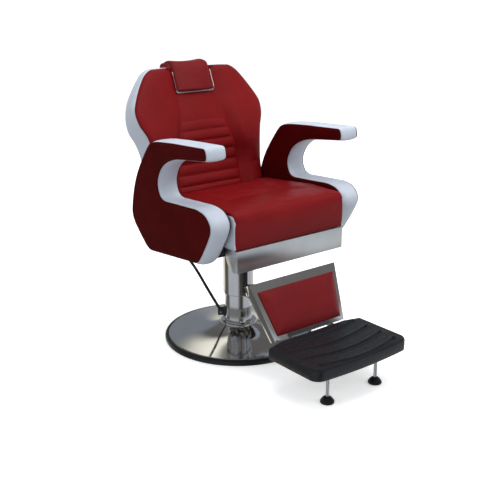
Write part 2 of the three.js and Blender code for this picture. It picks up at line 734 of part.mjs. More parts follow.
function addBackrest(chair) {
  const boardNear = BACK_CUSHION_THICKNESS + GAP;
  const boardFar = boardNear + BACK_BOARD_THICKNESS;
  const recess = block(-NOTCH.halfWidth, NOTCH.halfWidth, 200, 420, NOTCH.bottom, BACK_TOP + 10);
  const cushion = cut(backSlab(BACK_BOTTOM, BACK_TOP, 0, BACK_CUSHION_THICKNESS), recess);
  part(chair, 'back_cushion', cushion, RED_LEATHER);
  part(chair, 'back_board', backSlab(BACK_BOTTOM, BACK_TOP, boardNear, boardFar, 6), PLYWOOD);

  const lean = new THREE.Vector3(0, Math.sin(HEADREST_LEAN), Math.cos(HEADREST_LEAN));
  const anchor = new THREE.Vector3(HEADREST_BAR.x, HEADREST_BAR.y, HEADREST_BAR.z);
  const along = (distance, hand) => {
    const point = anchor.clone().addScaledVector(lean, distance);
    return [point.x * hand, point.y, point.z];
  };
  const slots = [1, -1].map((hand) => bar(along(-30, hand), along(20, hand), HEADREST_BAR.radius + 1));
  const casing = backCasing(BACK_BOTTOM, BACK_TOP, boardFar + GAP, 0);
  const hollow = backCasing(BACK_BOTTOM - 10, BACK_TOP - 7, boardNear - 5, SHELL_WALL);
  part(chair, 'back_shell', cut(casing, hollow, ...slots), WHITE_LEATHER);

  const guideBore = HEADREST_BAR.radius + 0.5;
  const guide = cut(bar(along(-150, 1), along(-38, 1), 7.5), bar(along(-160, 1), along(-30, 1), guideBore));
  pair(chair, 'headrest_guide', guide, STEEL);

  const bars = [1, -1].map((hand) => bar(along(-145, hand), along(11, hand), HEADREST_BAR.radius));
  const saddle = block(-60, 60, 362, 392, BACK_TOP + 1, BACK_TOP + 5);
  part(chair, 'headrest_bracket', join(...bars, saddle), STEEL);

  const pad = new THREE.Shape();
  pad.moveTo(274, NOTCH.bottom + 8);
  pad.lineTo(318, NOTCH.bottom + 8);
  pad.lineTo(357, BACK_TOP);
  pad.lineTo(359, BACK_TOP + 5.4);
  pad.lineTo(395, BACK_TOP + 5.4);
  pad.lineTo(396, BACK_TOP - 18);
  pad.lineTo(404, BACK_TOP - 18);
  pad.quadraticCurveTo(412, 1104, 372, 1116);
  pad.quadraticCurveTo(326, 1121, 316, 1099);
  part(chair, 'headrest_pad', sideExtrude(pad, -HEADREST_HALF_WIDTH, HEADREST_HALF_WIDTH), RED_LEATHER);
}

// ---- Leg rest: a folded steel pan on a cross shaft ----
function legOutline(inward) {
  const { top, bottom } = LEG_HALF_WIDTH;
  return polygon([
    [-top + inward, -inward],
    [-bottom + inward, -LEG_LENGTH + inward],
    [bottom - inward, -LEG_LENGTH + inward],
    [top - inward, -inward],
  ]);
}

function addLegRest(chair) {
  const leg = group(chair);
  leg.position.set(0, LEG_TOP.y, LEG_TOP.z);
  leg.rotation.x = -LEG_LEAN;

  // Lugs at the foot of the pan hold the footplate's hinge rod, given here in the pan's own axes.
  const hinge = { y: -4.5, z: -233.6 };
  const lugWeb = polygon([
    [hinge.y - 6, hinge.z],
    [hinge.y + 5, hinge.z - 5],
    [24, -LEG_LENGTH - 2],
    [24, -LEG_LENGTH + 2],
    [0.5, -LEG_LENGTH + 2],
  ]);
  const lugs = [-112, 100].map((x) => {
    const round = sideExtrude(circle(hinge.y, hinge.z, HINGE_LUG_RADIUS), x, x + 12);
    return join(sideExtrude(lugWeb, x, x + 12), round);
  });
  const rodBore = crossBar(-120, 120, hinge.y, hinge.z, HINGE_ROD_RADIUS + 0.4);
  // Ears behind the side walls carry the cross shaft's ends.
  const ears = [-207, 200.5].map((x) => sideExtrude(circle(35, -30, 13), x, x + 6.5));

  const pan = frontExtrude(legOutline(0), 0, LEG_DEPTH);
  const hollow = frontExtrude(legOutline(LEG_WALL), LEG_WALL, LEG_DEPTH + 5);
  const hangerSlot = block(HANGER_X.inner - 12, HANGER_X.outer + 12, 20, LEG_DEPTH + 5, -10, 5);
  const frame = cut(join(cut(pan, hollow, hangerSlot), ...ears, ...lugs), rodBore);
  part(leg, 'leg_frame', frame, CHROME);

  const padCorners = [[-191, -33], [-160, -208], [160, -208], [191, -33]];
  const padMiddle = -120;
  const padRing = (y, inset) =>
    padCorners.map(([x, z]) => {
      const inwardX = x > 0 ? -inset : inset;
      const inwardZ = z > padMiddle ? -inset : inset;
      return new THREE.Vector3(x + inwardX, y, z + inwardZ);
    });
  part(leg, 'leg_pad', loft([padRing(-GAP, 0), padRing(-5, 0), padRing(-14, 24)]), RED_LEATHER);

  part(leg, 'foot_hinge_rod', crossBar(-118, 118, hinge.y, hinge.z, HINGE_ROD_RADIUS), STEEL);

  const pin = { y: LEG_PIVOT.y + CRANK_ARM.y, z: LEG_PIVOT.z + CRANK_ARM.z };
  const shaft = crossBar(-200, 200, LEG_PIVOT.y, LEG_PIVOT.z, 9);
  const crank = linkPlate(CRANK_X.inner, CRANK_X.outer, LEG_PIVOT, pin, 11);
  const crankPin = crossBar(LINK_X.inner - 3, CRANK_X.outer, pin.y, pin.z, 5);
  part(chair, 'leg_shaft', join(shaft, crank, crankPin), BLACK_STEEL);

  // The drive link is cranked: low in front, high under the seat, and up again to the back's crank.
  const rear = { y: BACK_PIVOT.y + CRANK_ARM.y, z: BACK_PIVOT.z + CRANK_ARM.z };
  const link = polygon([
    [pin.y, pin.z - 10],
    [-197, pin.z - 10],
    [-197, 425],
    [182, 425],
    [rear.y + 8, rear.z - 8],
    [rear.y - 8, rear.z + 8],
    [170, 445],
    [-222, 445],
    [-222, pin.z + 10],
    [pin.y, pin.z + 10],
  ]);
  const { inner, outer } = LINK_X;
  const ends = [pin, rear].map((end) => sideExtrude(circle(end.y, end.z, 11), inner, outer));
  const bores = [pin, rear].map((end) => crossBar(inner - 1, outer + 1, end.y, end.z, 6.5));
  part(chair, 'drive_link', cut(join(sideExtrude(link, inner, outer), ...ends), ...bores), BLACK_STEEL);
}

// ---- Footplate: a moulded tread over a board, hinged at the foot of the leg rest ----
function footOutline(inward) {
  const side = FOOT.halfWidth - inward;
  const rear = FOOT.rearHalfWidth - inward;
  const front = FOOT.front + inward;
  const plate = new THREE.Shape();
  plate.moveTo(-rear, -inward);
  plate.lineTo(-side, -FOOT.shoulder);
  plate.lineTo(-side, front + FOOT.corner);
  plate.quadraticCurveTo(-side, front, FOOT.corner - side, front - 2);
  plate.quadraticCurveTo(0, front - 2 * FOOT.bow, side - FOOT.corner, front - 2);
  plate.quadraticCurveTo(side, front, side, front + FOOT.corner);
  plate.lineTo(side, -FOOT.shoulder);
  plate.lineTo(rear, -inward);
  return plate;
}

function addFootplate(chair) {
  const plate = group(chair);
  plate.position.set(0, FOOT_HINGE.y, FOOT_HINGE.z);

  // The tread's rear edge is a thin lip over the hinge rod, slotted for the lugs on the rod.
  const bottom = FOOT.top - FOOT.depth;
  const hollow = planExtrude(footOutline(FOOT_WALL), bottom - 5, FOOT.top - FOOT_SKIN);
  const rodChannel = block(-126, 126, -12, 1, bottom - 5, FOOT.top - 1.5);
  const lugSlots = [-116, 82].map((x) => block(x, x + 34, -14, 1, bottom - 5, FOOT.top + 1));
  const tread = cut(planExtrude(footOutline(0), bottom, FOOT.top), hollow, rodChannel, ...lugSlots);
  part(plate, 'footplate_tread', tread, BLACK_RUBBER);

  const boardBottom = -30;
  const board = block(-185, 185, -250, -30, boardBottom, boardBottom + 16);
  const lugs = [-96, 84].map((x) => {
    const web = block(x, x + 12, -60, -1, boardBottom, -2.5);
    return join(web, sideExtrude(circle(0, 0, HINGE_LUG_RADIUS), x, x + 12));
  });
  const rodBore = crossBar(-120, 120, 0, 0, HINGE_ROD_RADIUS + 0.4);
  const screwY = FOOT_SCREW.y - FOOT_HINGE.y;
  const screwBores = [-1, 1].map((hand) => {
    const x = hand * FOOT_SCREW.x;
    return bar([x, screwY, -60], [x, screwY, 10], 10);
  });
  part(plate, 'footplate_board', cut(join(board, ...lugs), rodBore, ...screwBores), BLACK_STEEL);

  const { x, y } = FOOT_SCREW;
  pair(chair, 'foot_screw', bar([x, y, 24], [x, y, 146], 7), CHROME);
  const cup = turned([
    [0, 0],
    [24, 0],
    [26.5, 3],
    [26, 9],
    [19, 18],
    [11, 26],
    [7.4, 26],
    [7.4, 23.6],
    [0, 23.6],
  ], 24);
  pair(chair, 'foot_pad', cup.translate(x, y, 0), BLACK_RUBBER);
}

const chair = new THREE.Group();
addBase(chair);
addPump(chair);
addLift(chair);
addSeatFrame(chair);
addApron(chair);
addSeat(chair);
addArms(chair);
addRecline(chair);
addBackrest(chair);
addLegRest(chair);
addFootplate(chair);

export default chair;
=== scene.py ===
import json
import math

import bmesh
import bpy
import numpy as np
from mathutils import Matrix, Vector


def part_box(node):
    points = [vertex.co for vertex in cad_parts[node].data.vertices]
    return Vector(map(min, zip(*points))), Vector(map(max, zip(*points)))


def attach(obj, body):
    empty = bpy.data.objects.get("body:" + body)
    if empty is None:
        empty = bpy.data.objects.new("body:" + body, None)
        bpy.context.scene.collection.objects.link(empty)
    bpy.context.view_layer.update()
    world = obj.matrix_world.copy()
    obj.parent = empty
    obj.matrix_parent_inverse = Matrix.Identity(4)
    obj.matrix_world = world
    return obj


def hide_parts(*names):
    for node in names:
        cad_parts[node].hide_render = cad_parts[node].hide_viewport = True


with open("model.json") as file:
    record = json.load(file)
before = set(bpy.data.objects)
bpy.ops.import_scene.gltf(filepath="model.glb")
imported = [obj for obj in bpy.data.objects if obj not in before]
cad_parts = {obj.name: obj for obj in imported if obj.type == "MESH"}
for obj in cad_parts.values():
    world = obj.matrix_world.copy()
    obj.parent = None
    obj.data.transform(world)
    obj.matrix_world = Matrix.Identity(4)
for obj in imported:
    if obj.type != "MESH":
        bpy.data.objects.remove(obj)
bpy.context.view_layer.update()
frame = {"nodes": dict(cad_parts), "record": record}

CAD = frame["nodes"]
SCENE = bpy.context.scene

# ---- Driving dimensions, beyond those read from the frame ----
BACK_CUSHION_DEPTH = 0.0433  # from the cushion's front plane to its board
BACK_BOARD_MARGIN = 0.006  # the upholstery stands this far past the board's edge
BACK_SEAM_DEPTH = 0.005  # where the red front meets the white casing
BACK_CORNER = 0.030
BACK_ROLL = 0.024  # how far in from its sides the red front starts to fall away
BACK_END_ROLL = 0.018  # the same for its top and bottom
NOTCH_HALF_WIDTH = 0.0935
NOTCH_BOTTOM = 0.993
BACK_RIBS = [0.598, 0.624, 0.667, 0.711, 0.757, 0.803, 0.844, 0.882]  # heights of the sewn lines
BACK_CREASE = {  # height: how far from the middle the bolster's seam runs
    0.59: 0.165, 0.66: 0.161, 0.71: 0.159, 0.755: 0.152, 0.80: 0.138, 0.865: 0.119, 0.913: 0.101,
    0.998: NOTCH_HALF_WIDTH, 1.10: NOTCH_HALF_WIDTH,
}
SHELL_CROWN = 0.008
SHELL_DROP = 0.042  # the casing's widest level lies this much lower behind than in front,
SHELL_TOP_DROP = 0.010  # and its top this much
SHELL_CORNER = 0.030

HEADREST_OFFSET = 0.0025  # the pad sits a little to the sitter's right in its notch
HEADREST_SADDLE = 0.009  # how far the pad's top sinks in its middle
HEADREST_END_ROLL = 0.020

SEAT_RIBS = [-0.100, -0.064, -0.028, 0.008, 0.044, 0.080, 0.116]  # the sewn lines' places along Y
SEAT_RIB_BOW = 0.5  # away from the middle they run forward by this times the distance, squared
SEAT_PANEL_HALF_WIDTH = 0.150
SEAT_ROLL = 0.026
SEAT_BODY_DROP = 0.0095  # the filling under the cover ends this far below the seat's top

ARM_ROLL = 0.0055  # the white band's rounding where it meets its panels
LEG_LEAN = math.radians(28.1)
LEG_PAD_EDGE = 0.005  # the height of the pad's steep edge
LEG_PAD_BEVEL = 0.026  # the width of its bevel

FOOT_REAR_HALF_WIDTH = 0.165
FOOT_SHOULDER = 0.020
FOOT_CORNER = 0.036
FOOT_BOW = 0.014
FOOT_SKIN = 0.0068
GROOVE_COUNT = 4
GROOVE_PITCH = 0.0685
GROOVE_START = 0.027  # from the tread's rear edge to the first groove's ends
GROOVE_BOW = 0.027  # how much further forward a groove is in its middle
GROOVE_BOW_REACH = 0.193
GROOVE_HALF_LENGTH = 0.188
GROOVE_DEPTH = 0.0078
GROOVE_LIP = 0.0020

STITCH_LENGTH = 0.0045
STITCH_GAP = 0.0030
STITCH_RADIUS = 0.0006
TURN_STEPS = 128
CLOTH_FRAMES = 20
HANDS = (("right", -1), ("left", 1))


# ---- Small geometry tools ----
def smooth_step(t):
    t = np.clip(t, 0.0, 1.0)
    return t * t * (3 - 2 * t)


def quarter_round(inside, radius):
    """How far a surface has dropped at a distance inside its edge, for a rounded edge of that radius."""
    t = np.clip(1 - np.asarray(inside) / radius, 0.0, 1.0)
    return radius * (1 - np.sqrt(1 - t * t))


def ridge(away, width):
    """1 on a line, falling off on both sides of it over about that width."""
    return np.exp(-((away / width) ** 2))


def pillow(at, lines, power):
    """0 on each sewn line, rising to 1 midway between two of them, flatter on top for a smaller power."""
    lines = np.array(lines)
    i = np.clip(np.searchsorted(lines, at) - 1, 0, len(lines) - 2)
    t = np.clip((at - lines[i]) / (lines[i + 1] - lines[i]), 0, 1)
    return np.power(np.clip(4 * t * (1 - t), 0, 1), power)


def smooth_line(places, values):
    """A smooth curve through values at places, as a function that takes arrays."""
    x, y = np.array(places, float), np.array(values, float)
    slope = np.gradient(y, x)

    def line(at):
        at = np.clip(at, x[0], x[-1])
        i = np.clip(np.searchsorted(x, at) - 1, 0, len(x) - 2)
        h = x[i + 1] - x[i]
        t = (at - x[i]) / h
        return (
            (2 * t**3 - 3 * t**2 + 1) * y[i]
            + (t**3 - 2 * t**2 + t) * h * slope[i]
            + (3 * t**2 - 2 * t**3) * y[i + 1]
            + (t**3 - t**2) * h * slope[i + 1]
        )

    return line


def cad_points(node):
    return np.array([v.co for v in CAD[node].data.vertices])


def side_outline(node):
    """The outer outline of a CAD node's flat end towards +X, as a closed row of (y, z) points."""
    bm = bmesh.new()
    bm.from_mesh(CAD[node].data)
    bmesh.ops.remove_doubles(bm, verts=bm.verts, dist=1e-5)
    level = max(v.co.x for v in bm.verts)
    end = {f for f in bm.faces if all(abs(v.co.x - level) < 1e-5 for v in f.verts)}
    neighbours = {}
    for edge in bm.edges:
        if sum(f in end for f in edge.link_faces) == 1:
            a, b = edge.verts
            neighbours.setdefault(a, []).append(b)
            neighbours.setdefault(b, []).append(a)
    loops = []
    while neighbours:
        path = [min(neighbours, key=lambda v: v.index)]
        while True:
            following = [v for v in neighbours.pop(path[-1]) if v in neighbours]
            if not following:
                break
            path.append(following[0])
        loops.append(path)
    outline = np.array([v.co[1:] for v in max(loops, key=len)])
    bm.free()
    return outline


def resample(loop, count, smoothing):
    """A closed row of points respaced evenly, with its corners eased by a few passes."""
    closed = np.vstack([loop, loop[:1]])
    along = np.concatenate([[0], np.cumsum(np.linalg.norm(np.diff(closed, axis=0), axis=1))])
    at = np.linspace(0, along[-1], count, endpoint=False)
    points = np.stack([np.interp(at, along, closed[:, k]) for k in range(closed.shape[1])], axis=1)
    for _ in range(smoothing):
        points = 0.25 * np.roll(points, 1, 0) + 0.5 * points + 0.25 * np.roll(points, -1, 0)
    return points


def outward_normals(loop):
    """Unit normals of a closed row of 2-D points, pointing out of it."""
    along = np.roll(loop, -1, 0) - np.roll(loop, 1, 0)
    normal = np.stack([along[:, 1], -along[:, 0]], axis=1)
    normal /= np.linalg.norm(normal, axis=1)[:, None]
    x, y = loop[:, 0], loop[:, 1]
    area = np.sum(x * np.roll(y, -1) - np.roll(x, -1) * y)
    return normal * np.sign(area)


def upright(x, line):
    """A row of (y, z) points set at one x."""
    return np.stack([np.full(len(line), x), line[:, 0], line[:, 1]], axis=1)


def make_mesh(name, points, faces):
    mesh = bpy.data.meshes.new(name)
    mesh.from_pydata([tuple(map(float, p)) for p in points], [], faces)
    bm = bmesh.new()
    bm.from_mesh(mesh)
    bmesh.ops.remove_doubles(bm, verts=bm.verts, dist=1e-6)
    bmesh.ops.recalc_face_normals(bm, faces=bm.faces)
    bm.to_mesh(mesh)
    bm.free()
    mesh.shade_smooth()
    piece = bpy.data.objects.new(name, mesh)
    SCENE.collection.objects.link(piece)
    return piece


def strip_faces(below, above, count, closed=True):
    """Faces between two rows of points, each row given by the number of its first point."""
    pairs = [(i, (i + 1) % count) for i in range(count if closed else count - 1)]
    return [(below + i, below + j, above + j, above + i) for i, j in pairs]


def skin_mesh(name, rows, closed=True, around=False):
    """A skin through rows of points. Closed rows are rings, and the end rings are filled or joined around."""
    count, levels = len(rows[0]), len(rows)
    faces = []
    for level in range(levels if around else levels - 1):
        faces += strip_faces(level * count, (level + 1) % levels * count, count, closed)
    if closed and not around:
        faces += [tuple(range(count)), tuple(range((levels - 1) * count, levels * count))]
    return make_mesh(name, np.concatenate(rows), faces)


def turned_mesh(name, profile, centre=(0.0, 0.0), steps=TURN_STEPS):
    """A turned skin about a vertical line, from a closed profile of (radius, height) points."""
    radius, height = np.array(profile).T
    rings = [
        np.stack([centre[0] + radius * math.cos(a), centre[1] + radius * math.sin(a), height], axis=1)
        for a in np.linspace(0, 2 * math.pi, steps, endpoint=False)
    ]
    return skin_mesh(name, rings, around=True)


def tube_mesh(name, path, radius, sides=8, closed=False):
    """A round tube along a row of points."""
    path = np.array(path, float)
    if closed:
        along = np.roll(path, -1, 0) - np.roll(path, 1, 0)
    else:
        along = np.gradient(path, axis=0)
    along /= np.linalg.norm(along, axis=1)[:, None]
    side = np.cross(along, [0.0, 0.3, 1.0])
    side /= np.linalg.norm(side, axis=1)[:, None]
    up = np.cross(side, along)
    angles = np.linspace(0, 2 * math.pi, sides, endpoint=False)
    lines = np.array([path + radius * (math.cos(a) * side + math.sin(a) * up) for a in angles])
    return skin_mesh(name, list(lines.transpose(1, 0, 2)), around=closed)


def stitch_mesh(name, path, closed=False):
    """A row of separate sewing stitches along a row of points, each a square bead that thins at its ends."""
    path = np.array(path, float)
    if closed:
        path = np.vstack([path, path[:1]])
    along = np.concatenate([[0], np.cumsum(np.linalg.norm(np.diff(path, axis=0), axis=1))])
    corners = np.radians([45, 135, 225, 315])
    places, sizes = (0.0, 0.25, 0.75, 1.0), (0.3, 1.0, 1.0, 0.3)
    points, faces = [], []
    for start in np.arange(0, along[-1] - STITCH_LENGTH, STITCH_LENGTH + STITCH_GAP):
        centres = [
            np.array([np.interp(start + place * STITCH_LENGTH, along, path[:, k]) for k in range(3)])
            for place in places
        ]
        direction = centres[-1] - centres[0]
        direction /= np.linalg.norm(direction)
        side = np.cross(direction, [0.31, 0.42, 0.85])
        side /= np.linalg.norm(side)
        up = np.cross(side, direction)
        first = len(points)
        for centre, size in zip(centres, sizes):
            radius = STITCH_RADIUS * size
            points += [centre + radius * (math.cos(a) * side + math.sin(a) * up) for a in corners]
        last = len(points) - 4
        for below in range(first, last, 4):
            faces += strip_faces(below, below + 4, 4)
        faces += [tuple(range(first, first + 4)), tuple(range(last, last + 4))]
    return make_mesh(name, points, faces)


def add_modifier(piece, kind, **settings):
    modifier = piece.modifiers.new(kind.lower(), kind)
    for key, value in settings.items():
        setattr(modifier, key, value)
    return modifier


def subdivide(piece):
    add_modifier(piece, "SUBSURF", levels=1, render_levels=1)


def coordinates(mesh):
    values = np.empty(len(mesh.vertices) * 3)
    mesh.vertices.foreach_get("co", values)
    return values.reshape(-1, 3)


def inflate(piece, held, pressure, most):
    """Swells a skin with Cloth between the points that are held, each point moving at most so far."""
    rest = coordinates(piece.data)
    pinned = np.nonzero(np.concatenate(held)[: len(rest)])[0]
    group = piece.vertex_groups.new(name="held")
    group.add([int(i) for i in pinned], 1.0, "REPLACE")
    cloth = piece.modifiers.new("cloth", "CLOTH")
    behaviour = {
        "quality": 5,
        "mass": 0.3,
        "use_pressure": True,
        "uniform_pressure_force": pressure,
        "tension_stiffness": 12.0,
        "compression_stiffness": 12.0,
        "shear_stiffness": 5.0,
        "bending_stiffness": 0.5,
        "vertex_group_mass": group.name,
    }
    for key, value in behaviour.items():
        setattr(cloth.settings, key, value)
    cloth.settings.effector_weights.gravity = 0.0
    cloth.point_cache.frame_start = 1
    cloth.point_cache.frame_end = CLOTH_FRAMES
    for step in range(1, CLOTH_FRAMES + 1):
        SCENE.frame_set(step)
    shown = piece.evaluated_get(bpy.context.evaluated_depsgraph_get())
    moved = coordinates(shown.to_mesh()) - rest
    shown.to_mesh_clear()
    piece.modifiers.remove(cloth)
    piece.vertex_groups.remove(group)
    SCENE.frame_set(1)
    size = np.maximum(np.linalg.norm(moved, axis=1)[:, None], 1e-9)
    limited = rest + moved * (most * np.tanh(size / most) / size)
    piece.data.vertices.foreach_set("co", limited.ravel())
    piece.data.update()


def finish_piece(piece, material, body, slot, *replaced):
    piece.data.materials.append(material)
    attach(piece, body)
    if replaced:
        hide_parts(*replaced)
    return piece


# ---- Materials ----
class Nodes:
    """A node tree with short calls for making and joining its nodes."""

    def __init__(self, tree):
        self.tree = tree

    def put(self, socket, value):
        if isinstance(value, bpy.types.NodeSocket):
            self.tree.links.new(value, socket)
        else:
            socket.default_value = value

    def node(self, kind, settings=None, **values):
        made = self.tree.nodes.new(kind)
        for key, value in (settings or {}).items():
            setattr(made, key, value)
        for key, value in values.items():
            self.put(made.inputs[key.replace("_", " ")], value)
        return made

    def math(self, operation, a, b):
        made = self.node("ShaderNodeMath", {"operation": operation})
        self.put(made.inputs[0], a)
        self.put(made.inputs[1], b)
        return made.outputs[0]

    def ranged(self, value, low, high, start=0.3, end=0.7):
        """Low where the value is at its start, high where it is at its end."""
        limits = {"From_Min": start, "From_Max": end, "To_Min": low, "To_Max": high}
        return self.node("ShaderNodeMapRange", Value=value, **limits).outputs["Result"]

    def mixed(self, amount, a, b):
        """A blend of two colours, each a socket or red, green and blue."""
        made = self.node("ShaderNodeMix", {"data_type": "RGBA"})
        self.put(made.inputs["Factor"], amount)
        for key, color in (("A", a), ("B", b)):
            self.put(made.inputs[key], color if isinstance(color, bpy.types.NodeSocket) else (*color, 1))
        return made.outputs["Result"]

    def mixed_shader(self, amount, a, b):
        made = self.node("ShaderNodeMixShader")
        for socket, value in zip(made.inputs, (amount, a.outputs[0], b.outputs[0])):
            self.put(socket, value)
        return made


class Shader(Nodes):
    """A material's node tree, with the textures that the materials share."""

    def __init__(self, name):
        self.material = bpy.data.materials.new(name)
        self.material.use_nodes = True
        super().__init__(self.material.node_tree)
        self.surface = self.tree.nodes["Principled BSDF"]
        self.place = self.node("ShaderNodeTexCoord").outputs["Object"]

    def set(self, **values):
        for key, value in values.items():
            self.put(self.surface.inputs[key.replace("_", " ")], value)

    def stretched(self, scale):
        return self.node("ShaderNodeMapping", Vector=self.place, Scale=scale).outputs["Vector"]

    def noise(self, scale, detail=3.0, place=None):
        made = self.node("ShaderNodeTexNoise", Vector=place or self.place, Scale=scale, Detail=detail)
        return made.outputs["Fac"]

    def cells(self, scale):
        """The distance to the nearest border between cells."""
        feature = {"feature": "DISTANCE_TO_EDGE"}
        return self.node("ShaderNodeTexVoronoi", feature, Vector=self.place, Scale=scale).outputs["Distance"]

    def sum(self, a, b, weight):
        return self.math("ADD", a, self.math("MULTIPLY", b, weight))

    def worn_edges(self):
        """0 on flat stretches, rising to 1 on exposed edges."""
        point = self.node("ShaderNodeNewGeometry").outputs["Pointiness"]
        return self.ranged(point, 0.0, 1.0, 0.53, 0.62)

    def bump(self, height, strength, distance):
        made = self.node("ShaderNodeBump", Height=height, Strength=strength, Distance=distance)
        self.set(Normal=made.outputs["Normal"])


def shade(color, factor):
    return tuple(c * factor for c in color)


def leather(name, color, deep, pale, roughness, grain, strength, gloss, sheen=0.0, waves=0.8):
    """Coated upholstery leather: pebbled grain, soft blotches, paler worn edges."""
    s = Shader(name)
    blotches = s.ranged(s.noise(7.0), 0.0, 1.0)
    flecks = s.ranged(s.noise(180.0, 2.0), 0.0, 0.10)
    base = s.mixed(flecks, s.mixed(blotches, deep, color), pale)
    worn = s.math("MULTIPLY", s.worn_edges(), s.ranged(s.noise(60.0), 0.05, 0.30))
    s.set(Base_Color=s.mixed(worn, base, pale))
    s.set(Roughness=s.ranged(s.noise(22.0), roughness - 0.05, roughness + 0.07))
    pebbles = s.ranged(s.cells(grain), 0.0, 1.0, 0.0, 0.14)
    height = s.sum(pebbles, s.noise(grain * 2.2, 2.0), 0.35)
    s.bump(s.sum(height, s.noise(35.0, 2.0), waves), strength, 0.0006)
    s.set(Specular_IOR_Level=gloss, Sheen_Weight=sheen, Sheen_Roughness=0.35)
    s.set(Coat_Weight=gloss * 0.2, Coat_Roughness=0.30)
    return s.material


def metal(name, color, roughness, spread, grain_scale, strength):
    """Metal with brushing or polishing marks along its grain, and smudges."""
    s = Shader(name)
    marks = s.noise(1.0, 4.0, s.stretched(grain_scale))
    smudges = s.noise(14.0, 4.0)
    s.set(Base_Color=s.mixed(s.ranged(smudges, 0.0, 0.5), color, shade(color, 0.86)))
    dullness = s.sum(s.ranged(smudges, 0.0, 0.6), marks, 0.4)
    s.set(Roughness=s.ranged(dullness, roughness, roughness + spread, 0.0, 1.0), Metallic=1.0)
    s.bump(marks, strength, 0.0002)
    return s.material


def painted(name, color, pale, roughness):
    """Powder coat: orange-peel bump, dust and rubbed edges."""
    s = Shader(name)
    base = s.mixed(s.ranged(s.noise(30.0, 4.0), 0.0, 0.25), color, pale)
    s.set(Base_Color=s.mixed(s.worn_edges(), base, pale))
    s.set(Roughness=s.ranged(s.noise(45.0), roughness - 0.06, roughness + 0.10))
    s.bump(s.noise(900.0, 2.0), 0.35, 0.0003)
    return s.material


def rubber(name, color, pale, roughness):
    """Moulded rubber: fine texture, faint scuffs and a little bloom."""
    s = Shader(name)
    bloom = s.ranged(s.noise(9.0, 4.0), 0.0, 0.35)
    scuffs = s.ranged(s.noise(1.0, 3.0, s.stretched((120.0, 22.0, 60.0))), 0.0, 0.22, 0.52, 0.70)
    s.set(Base_Color=s.mixed(scuffs, s.mixed(bloom, color, pale), shade(pale, 1.6)))
    s.set(Roughness=s.ranged(s.noise(40.0), roughness - 0.08, roughness + 0.08))
    height = s.sum(s.noise(1400.0, 2.0), s.ranged(s.cells(700.0), 0.0, 1.0, 0.0, 0.2), 0.4)
    s.bump(height, 0.35, 0.0004)
    s.set(Specular_IOR_Level=0.50)
    return s.material


def plywood(name):
    """Bare wood with its grain along X."""
    s = Shader(name)
    grain = s.noise(1.0, 5.0, s.stretched((9.0, 160.0, 160.0)))
    s.set(Base_Color=s.mixed(s.ranged(grain, 0.0, 1.0), (0.38, 0.22, 0.10), (0.62, 0.44, 0.25)))
    s.set(Roughness=s.ranged(s.noise(60.0), 0.6, 0.8))
    s.bump(grain, 0.4, 0.0005)
    return s.material


def thread(name, color):
    """Twisted sewing thread."""
    s = Shader(name)
    twist = s.noise(1.0, 2.0, s.stretched((1500.0, 1500.0, 700.0)))
    s.set(Base_Color=s.mixed(s.ranged(twist, 0.0, 1.0), shade(color, 0.6), color))
    s.set(Roughness=s.ranged(s.noise(300.0), 0.5, 0.7))
    s.bump(twist, 0.5, 0.0003)
    return s.material


RED = leather(
    "red_leather", (0.185, 0.0050, 0.0064), (0.155, 0.0036, 0.0048), (0.28, 0.018, 0.020),
    roughness=0.34, grain=620.0, strength=0.24, gloss=0.16,
)
GLOSSY_RED = leather(
    "glossy_red_leather", (0.165, 0.0060, 0.0080), (0.140, 0.0046, 0.0062), (0.26, 0.020, 0.022),
    roughness=0.34, grain=620.0, strength=0.20, gloss=0.26, waves=0.5,
)
DARK_RED = leather(
    "dark_red_leather", (0.070, 0.0018, 0.0024), (0.054, 0.0014, 0.0018), (0.10, 0.005, 0.005),
    roughness=0.60, grain=760.0, strength=0.30, gloss=0.025,
)
WHITE = leather(
    "white_leather", (0.52, 0.565, 0.64), (0.47, 0.52, 0.60), (0.66, 0.70, 0.75),
    roughness=0.42, grain=620.0, strength=0.22, gloss=0.30, sheen=0.02,
)
PIPING_RED = leather(
    "piping_red", (0.055, 0.0025, 0.0035), (0.040, 0.002, 0.0028), (0.12, 0.012, 0.012),
    roughness=0.5, grain=900.0, strength=0.2, gloss=0.15,
)
PIPING_WHITE = leather(
    "piping_white", (0.66, 0.64, 0.62), (0.55, 0.52, 0.50), (0.8, 0.8, 0.8),
    roughness=0.45, grain=900.0, strength=0.2, gloss=0.3, sheen=0.02,
)
CHROME = metal("chrome", (0.80, 0.81, 0.82), 0.04, 0.10, (60.0, 60.0, 60.0), 0.05)
SATIN = metal("satin_steel", (0.90, 0.93, 0.935), 0.34, 0.08, (6.0, 500.0, 500.0), 0.04)
STEEL = metal("steel", (0.50, 0.50, 0.51), 0.25, 0.18, (400.0, 400.0, 400.0), 0.15)
BRONZE = metal("bronze", (0.50, 0.33, 0.14), 0.25, 0.15, (300.0, 300.0, 30.0), 0.2)
BLACK = painted("black_paint", (0.010, 0.010, 0.011), (0.035, 0.035, 0.037), 0.42)
RUBBER = rubber("black_rubber", (0.0072, 0.0082, 0.0108), (0.014, 0.0160, 0.0205), 0.36)
PLYWOOD = plywood("plywood")
THREAD_RED = thread("thread_red", (0.10, 0.008, 0.010))
THREAD_WHITE = thread("thread_white", (0.60, 0.62, 0.66))

SLOT_MATERIALS = {
    "red_leather": RED,
    "dark_red_leather": DARK_RED,
    "white_leather": WHITE,
    "chrome": CHROME,
    "steel": STEEL,
    "black_steel": BLACK,
    "black_alloy": BLACK,
    "black_rubber": RUBBER,
    "plywood": PLYWOOD,
    "bronze": BRONZE,
}


def dress_cad_nodes():
    """Every CAD node gets the detailed material of its slot."""
    for entry in frame["record"]["subparts"]:
        node = CAD[entry["node"]]
        material = SLOT_MATERIALS[entry["material_slot"]]
        if entry["node"] == "front_apron":
            material = SATIN
        node.data.materials.clear()
        node.data.materials.append(material)


